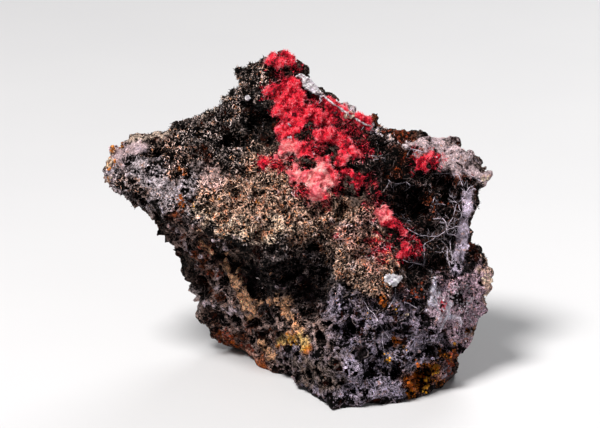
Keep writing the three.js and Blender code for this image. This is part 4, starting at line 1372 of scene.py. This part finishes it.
# colour, then where they lie: across, up, radius of the place, how many, half their size
CRUMBS = [
    (tone(238, 116, 10), [
        (-24.3, 12.4, 0.4, 4, 0.36), (-23.1, 11.4, 0.4, 4, 0.36), (-24, 6.2, 1, 9, 0.4),
        (-22.9, 4.9, 0.6, 5, 0.35), (-18.9, 7.6, 0.8, 5, 0.3), (16.8, -14.5, 0.9, 9, 0.45),
        (20.4, -23.1, 0.7, 7, 0.5), (24.7, -27.2, 0.8, 7, 0.5), (23.7, -31.2, 1.6, 26, 0.55),
        (17.6, -11.4, 0.8, 4, 0.35), (32.4, -25.8, 0.9, 8, 0.5),
    ]),
    (tone(255, 172, 26), [
        (-6, 4, 7, 24, 0.16), (12, -4, 6, 24, 0.16), (-21.4, 5, 0.5, 4, 0.3),
        (-16.2, 6.5, 0.6, 4, 0.28), (-8.2, 5.4, 0.8, 4, 0.25), (14.4, -17.4, 0.8, 4, 0.28),
        (18.4, -26.2, 1.2, 9, 0.34), (21.8, -24.3, 0.6, 4, 0.3), (32.3, -23.7, 0.5, 5, 0.34),
        (26.6, -30.8, 1, 10, 0.5), (28.6, -28.9, 1.1, 10, 0.5), (26.4, -32.7, 1, 8, 0.5),
        (20.3, -16.3, 0.9, 4, 0.3), (-1.2, -23.2, 1.2, 14, 0.35), (1.8, -24.4, 0.6, 6, 0.3),
    ]),
    (tone(176, 62, 10), [
        (32, -27, 1.6, 16, 0.5), (31.5, -29.5, 1.2, 10, 0.45), (24.8, -12.4, 1.8, 16, 0.35),
        (22.4, -13.6, 1.5, 12, 0.35), (-8, 4, 6, 40, 0.2), (8, 1, 5, 30, 0.2), (13, -5, 4, 24, 0.2),
        (-14, 8, 4, 20, 0.2), (22, 19.6, 1.6, 16, 0.4), (18.6, 21.4, 1.4, 14, 0.4),
        (25.6, 15.6, 1.2, 8, 0.3), (35.6, 10.8, 1.2, 8, 0.3), (-15.5, -23, 2, 16, 0.45),
        (-11, -26, 2, 18, 0.45), (-19, -4, 1.6, 10, 0.35), (-17, -9, 1.8, 12, 0.35),
    ]),
    (tone(222, 132, 54), [
        (-38.2, 16.6, 0.7, 9, 0.5), (-37, 17.4, 0.7, 8, 0.4), (-38.9, 15, 0.4, 5, 0.4),
        (-38.8, 12.4, 0.4, 5, 0.35), (-39, 10.4, 0.4, 5, 0.35), (-38.4, 13.8, 0.8, 5, 0.4),
    ]),
    (tone(250, 222, 196), [
        (-38.7, 14.2, 0.6, 9, 0.5), (-38.8, 13.2, 0.5, 7, 0.45), (-38.4, 15.8, 0.5, 4, 0.35),
        (-39, 10.6, 0.5, 5, 0.35), (39.4, -10.4, 1.2, 14, 0.4), (39.4, -14, 1, 10, 0.4),
        (39.2, 10.2, 1, 12, 0.4), (10.8, 23.6, 1, 12, 0.5), (16.4, 20.6, 0.8, 6, 0.4),
        (21.8, -17.4, 0.6, 6, 0.35),
    ]),
    (tone(240, 226, 238), [
        (30.5, 15.5, 2, 12, 0.3), (34, 14.6, 2, 14, 0.3), (29.4, -15.4, 1.6, 22, 0.34),
        (33, -14, 3.2, 50, 0.3), (36, -17, 3, 46, 0.3), (34.6, -21, 2.6, 34, 0.3),
        (-1.9, 21, 0.4, 3, 0.5), (-1.6, 18.8, 0.4, 3, 0.45), (-10.2, 27.2, 0.4, 3, 0.5),
        (3.4, 15.4, 0.6, 3, 0.3),
    ]),
]
# they lie on the red hair as well as on the rock
red_meshes = [thing.data for thing in bpy.data.objects if thing.name.startswith("red_hairs_")]
rock_skin = skin_of([rock.data, crust.data, *red_meshes])


def crumb(draw, across, up, half):
    """A small lump with eight flat faces, sunk a little in the skin."""
    place, normal = on_rock(across, up)
    if place is None:
        return None
    turn = Vector(draw.normal(size=3)).to_track_quat("Z", "Y")
    ends = [(1, 0, 0), (-1, 0, 0), (0, 1, 0), (0, -1, 0), (0, 0, 1), (0, 0, -1)]
    centre = place + normal * half * 0.3 * MM
    corners = [centre + turn @ (Vector(end) * half * draw.uniform(0.6, 1.2) * MM) for end in ends]
    faces = [(0, 2, 4), (2, 1, 4), (1, 3, 4), (3, 0, 4), (2, 0, 5), (1, 2, 5), (3, 1, 5), (0, 3, 5)]
    return corners, faces


# the white streak: the places that it passes, across and up
RIDGE_STREAK = [(4.6, 28), (7.4, 26), (9.6, 24.6), (12.2, 22.9), (15, 21.3), (18.2, 19.4)]
STREAK_RADIUS = 0.24
STREAK_LIFT = 0.15
STREAK_TONE = tone(246, 238, 244)
draw = np.random.default_rng(17)
lumps, colours = [], []
for colour, spots in CRUMBS:
    for across, up, spread, count, half in spots:
        for _ in range(count):
            start = strewn(draw, across, up, spread)
            made = crumb(draw, *start, half * draw.uniform(0.5, 1.15))
            if made:
                lumps.append(made)
                own = np.clip(colour * draw.uniform(0.55, 1.15), 0, 1)
                colours.extend([own] * CORNERS_OF_A_CRUMB)
streak = vein(RIDGE_STREAK, STREAK_RADIUS, 5, STREAK_LIFT)
lumps.append(streak)
colours.extend([STREAK_TONE] * len(streak[0]))
crumbs = joined("crumbs", lumps)
dye(crumbs.data, "own", colours)


def crumb_skin(w, place):
    """Each crumb has its own colour, and is mottled."""
    mottle = w.ramp(w.noise(place, 0.5, 3.0, 0.7), 0.36, 0.6, 0.35, 1.15)
    return w.scaled(w.attribute("own", colour=True), mottle), mottle


crumbs.data.materials.append(stone("crumb", crumb_skin, 0.4, 0.5))
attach(crumbs, "root")

# --- Floor and light --------------------------------------------------------------------------
# A plain pale table, a large soft lamp high on the left, a weak one low on the right and a third
# one behind that lights the top edges.
bpy.context.scene.view_settings.view_transform = "Standard"
FLOOR_HALF = 1.5
floor_mesh = bpy.data.meshes.new("floor")
corners = [(x * FLOOR_HALF, y * FLOOR_HALF, 0) for x, y in ((-1, -1), (1, -1), (1, 1), (-1, 1))]
floor_mesh.from_pydata(corners, [], [(0, 1, 2, 3)])
paint, w, shader = new_finish("floor_paint", 0.55, 0.5)
cloudy = w.noise(w.millimetres(), 90, 3.0)
shade = w.mix(cloudy, tone(206, 206, 208), tone(213, 213, 214))
w.feed(shader["Base Color"], shade)
floor_mesh.materials.append(paint)
floor = placed("floor", floor_mesh)


def lamp(name, place, size, power, colour):
    """A round soft lamp that points at the specimen's middle."""
    bulb = bpy.data.lights.new(name, "AREA")
    bulb.shape = "DISK"
    bulb.size = size
    bulb.energy = power
    bulb.color = colour
    made = bpy.data.objects.new(name, bulb)
    bpy.context.scene.collection.objects.link(made)
    made.location = place
    aim = Vector((0, 0, 0.03)) - Vector(place)
    made.rotation_euler = aim.to_track_quat("-Z", "Y").to_euler()


lamp("key", (-0.3, -0.36, 0.82), 0.3, 13, (1, 0.98, 0.96))
lamp("fill", (0.7, -0.5, 0.3), 0.6, 0.8, (0.95, 0.97, 1))
lamp("rim", (0.3, 0.8, 0.6), 0.5, 4, (1, 1, 1))
world = bpy.data.worlds.new("room")
world.use_nodes = True
world.node_tree.nodes["Background"].inputs["Color"].default_value = (0.8, 0.8, 0.82, 1)
world.node_tree.nodes["Background"].inputs["Strength"].default_value = 0.15
bpy.context.scene.world = world
